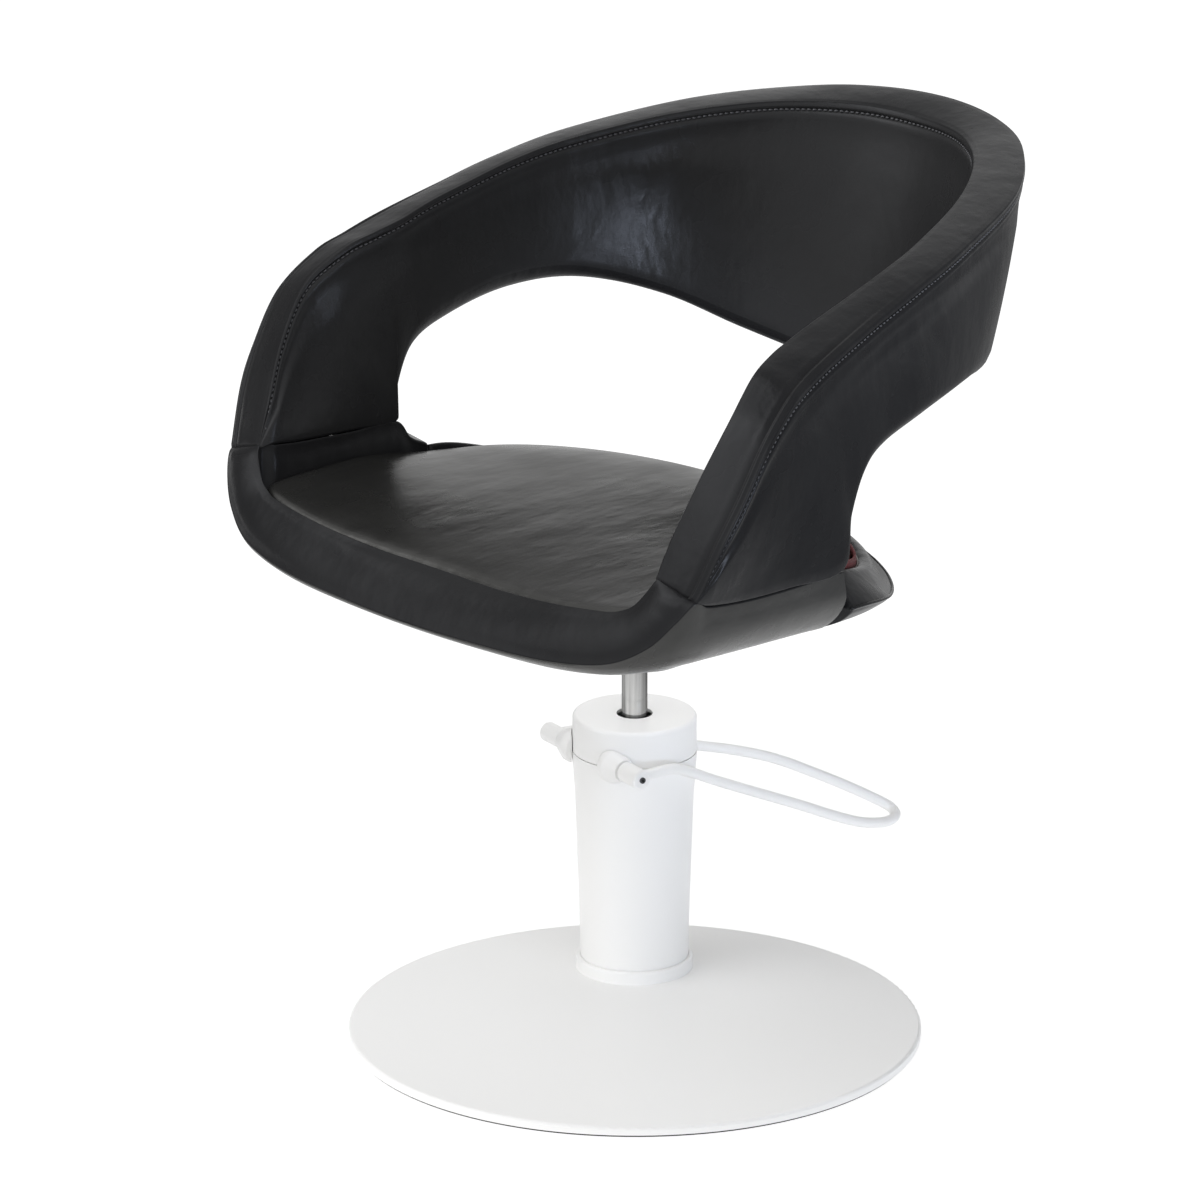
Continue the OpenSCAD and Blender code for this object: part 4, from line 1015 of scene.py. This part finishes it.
BAIL_POINTS = 160
SHAFT_OFFSET = 46 * MM
SHAFT_Z = 235 * MM
LEVER_TURN = math.radians(11)


def pump_place(x, y, z):
    """A place in the lever's own frame, as a point of the chair's."""
    cosine, sine = math.cos(-LEVER_TURN), math.sin(-LEVER_TURN)
    return np.array([x * cosine - y * sine, x * sine + y * cosine, z])


def build_bail():
    points = [pump_place(x * BAIL_HALF, y * BAIL_REACH - SHAFT_OFFSET, SHAFT_Z - z * BAIL_DROP)
              for x, y, z in BAIL_SHARES]
    path = spline(points, np.linspace(0, len(points) - 1, BAIL_POINTS))
    piece = loft("lever_rod", tube_rings(path, BAIL_RADIUS, BAIL_SIDES), PAINT)
    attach(piece, "pedal")
    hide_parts("pedal_bail")


# Finishes of the nodes that stay as they are. The others are painted.
NODES_BY_FINISH = {
    "rod_steel": ["piston_rod"],
    "bright_steel": ["oil_tank", "pressure_tube", "pump_barrel", "pedal_shaft", "pump_plunger",
                     "piston_head", "plate_bolts"],
    "dark_steel": ["seat_socket", "mounting_plate", "foot_screws", "hub_screws"],
    "black_rubber": ["floor_pad", "wiper_seal", "piston_seal"],
    "bush_bronze": ["rod_guide", "shaft_bushes"],
    "pump_casting": ["tank_foot", "pump_head", "pump_crank"],
    "plywood": ["seat_board"],
    "black_lining": ["seat_lining"],
}


def finish_nodes():
    finishes = {}
    for finish, names in NODES_BY_FINISH.items():
        material = steel_material(finish) if finish in STEELS else plain_material(finish)
        finishes.update({name: material for name in names})
    for name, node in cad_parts.items():
        node.data.materials.clear()
        node.data.materials.append(finishes.get(name, PAINT))


# Camera, floor and light

def camera_back():
    """Unit vector from the object to the camera."""
    turn, rise = math.radians(CAMERA_TURN), math.radians(CAMERA_RISE)
    flat = math.cos(rise)
    return Vector((math.sin(turn) * flat, -math.cos(turn) * flat, math.sin(rise)))


def build_camera():
    data = bpy.data.cameras.new("camera")
    data.lens = CAMERA_LENS
    data.sensor_width = CAMERA_SENSOR
    data.sensor_fit = "HORIZONTAL"
    data.clip_end = CAMERA_CLIP
    camera = bpy.data.objects.new("camera", data)
    bpy.context.scene.collection.objects.link(camera)
    camera.location = Vector(CAMERA_TARGET) + camera_back() * CAMERA_DISTANCE
    camera.rotation_euler = (-camera_back()).to_track_quat("-Z", "Y").to_euler()
    bpy.context.scene.camera = camera


def white_share(tree, close):
    """1 for what the camera sees and, close to the chair, for reflections and glass."""
    rays = add_node(tree, "ShaderNodeLightPath").outputs
    passed_on = combined(tree, "MAXIMUM", rays["Is Glossy Ray"], rays["Is Transmission Ray"])
    near_only = combined(tree, "MULTIPLY", passed_on, close)
    return combined(tree, "MAXIMUM", rays["Is Camera Ray"], near_only)


def floor_glow(tree):
    """Strength of the floor's glow by the distance from the chair."""
    place = add_node(tree, "ShaderNodeTexCoord")
    length = add_node(tree, "ShaderNodeVectorMath", operation="LENGTH")
    tree.links.new(place.outputs["Object"], length.inputs[0])
    distance = length.outputs["Value"]
    near = mapped(tree, distance, FLOOR_NEAR_GLOW, FLOOR_FAR_GLOW, FLOOR_NEAR, FLOOR_FAR)
    far = mapped(tree, distance, 0.0, BACKDROP_GLOW, BACKDROP_FROM, BACKDROP_FULL)
    close = mapped(tree, distance, 1.0, 0.0, FLOOR_NEAR, FLOOR_FAR)
    mix = add_node(tree, "ShaderNodeMix")
    tree.links.new(white_share(tree, close), mix.inputs["Factor"])
    tree.links.new(combined(tree, "ADD", near, far), mix.inputs[MIX_FLOAT_A])
    mix.inputs[MIX_FLOAT_B].default_value = FLOOR_CAMERA_GLOW
    return mix.outputs[MIX_FLOAT_OUT]


def floor_material():
    """Pale paper that shows white to the camera and keeps a trace of the shadow."""
    material = bpy.data.materials.new("studio_floor")
    material.use_nodes = True
    tree = material.node_tree
    tree.nodes.clear()
    out = add_node(tree, "ShaderNodeOutputMaterial")
    paper = add_node(tree, "ShaderNodeBsdfDiffuse")
    paper.inputs["Color"].default_value = (FLOOR_GREY, FLOOR_GREY, FLOOR_GREY, 1)
    glow = add_node(tree, "ShaderNodeEmission")
    tree.links.new(floor_glow(tree), glow.inputs["Strength"])
    both = add_node(tree, "ShaderNodeAddShader")
    tree.links.new(paper.outputs["BSDF"], both.inputs[0])
    tree.links.new(glow.outputs["Emission"], both.inputs[1])
    tree.links.new(both.outputs["Shader"], out.inputs["Surface"])
    return material


def build_floor():
    corners = [(x * FLOOR_HALF, y * FLOOR_HALF, -FLOOR_GAP)
               for x, y in ((-1, -1), (1, -1), (1, 1), (-1, 1))]
    floor = make_mesh("studio_floor", corners, [(0, 1, 2, 3)], floor_material(), smooth=False)


def direction(turn, rise):
    """Unit vector at a bearing counted from +X and a height above the horizon."""
    turn, rise = math.radians(turn), math.radians(rise)
    return (math.cos(turn) * math.cos(rise), math.sin(turn) * math.cos(rise), math.sin(rise))


def build_world():
    """Studio seen by the object: an even glow with soft brighter and darker regions."""
    world = bpy.data.worlds.new("studio")
    bpy.context.scene.world = world
    world.use_nodes = True
    tree = world.node_tree
    background = tree.nodes["Background"]
    place = add_node(tree, "ShaderNodeTexCoord")
    total = STUDIO_BASE
    for turn, rise, rim, core, strength in STUDIO_LOBES:
        dot = add_node(tree, "ShaderNodeVectorMath", operation="DOT_PRODUCT")
        dot.inputs[1].default_value = direction(turn, rise)
        tree.links.new(place.outputs["Generated"], dot.inputs[0])
        rim_cosine, core_cosine = math.cos(math.radians(rim)), math.cos(math.radians(core))
        lobe = mapped(tree, dot.outputs["Value"], 0.0, strength, rim_cosine, core_cosine)
        total = combined(tree, "ADD", lobe, total)
    tree.links.new(total, background.inputs["Strength"])
    background.inputs["Color"].default_value = (1, 1, 1, 1)


def add_light(name, place, size, spread, power, colour, aim):
    data = bpy.data.lights.new(name, "AREA")
    data.shape = "RECTANGLE"
    data.size, data.size_y = size
    data.spread = math.radians(spread)
    data.energy = power
    data.color = colour
    light = bpy.data.objects.new(name, data)
    bpy.context.scene.collection.objects.link(light)
    light.location = place
    light.rotation_euler = (Vector(aim) - Vector(place)).to_track_quat("-Z", "Y").to_euler()


def build_lights():
    for lamp in LAMPS:
        add_light(*lamp)


finish_nodes()
build_tub()
build_shell()
build_cushion()
build_rear_panel()
build_piping()
build_rear_strip()
build_stitches()
build_bail()
build_camera()
build_floor()
build_world()
build_lights()
bpy.context.scene.view_settings.view_transform = "Standard"
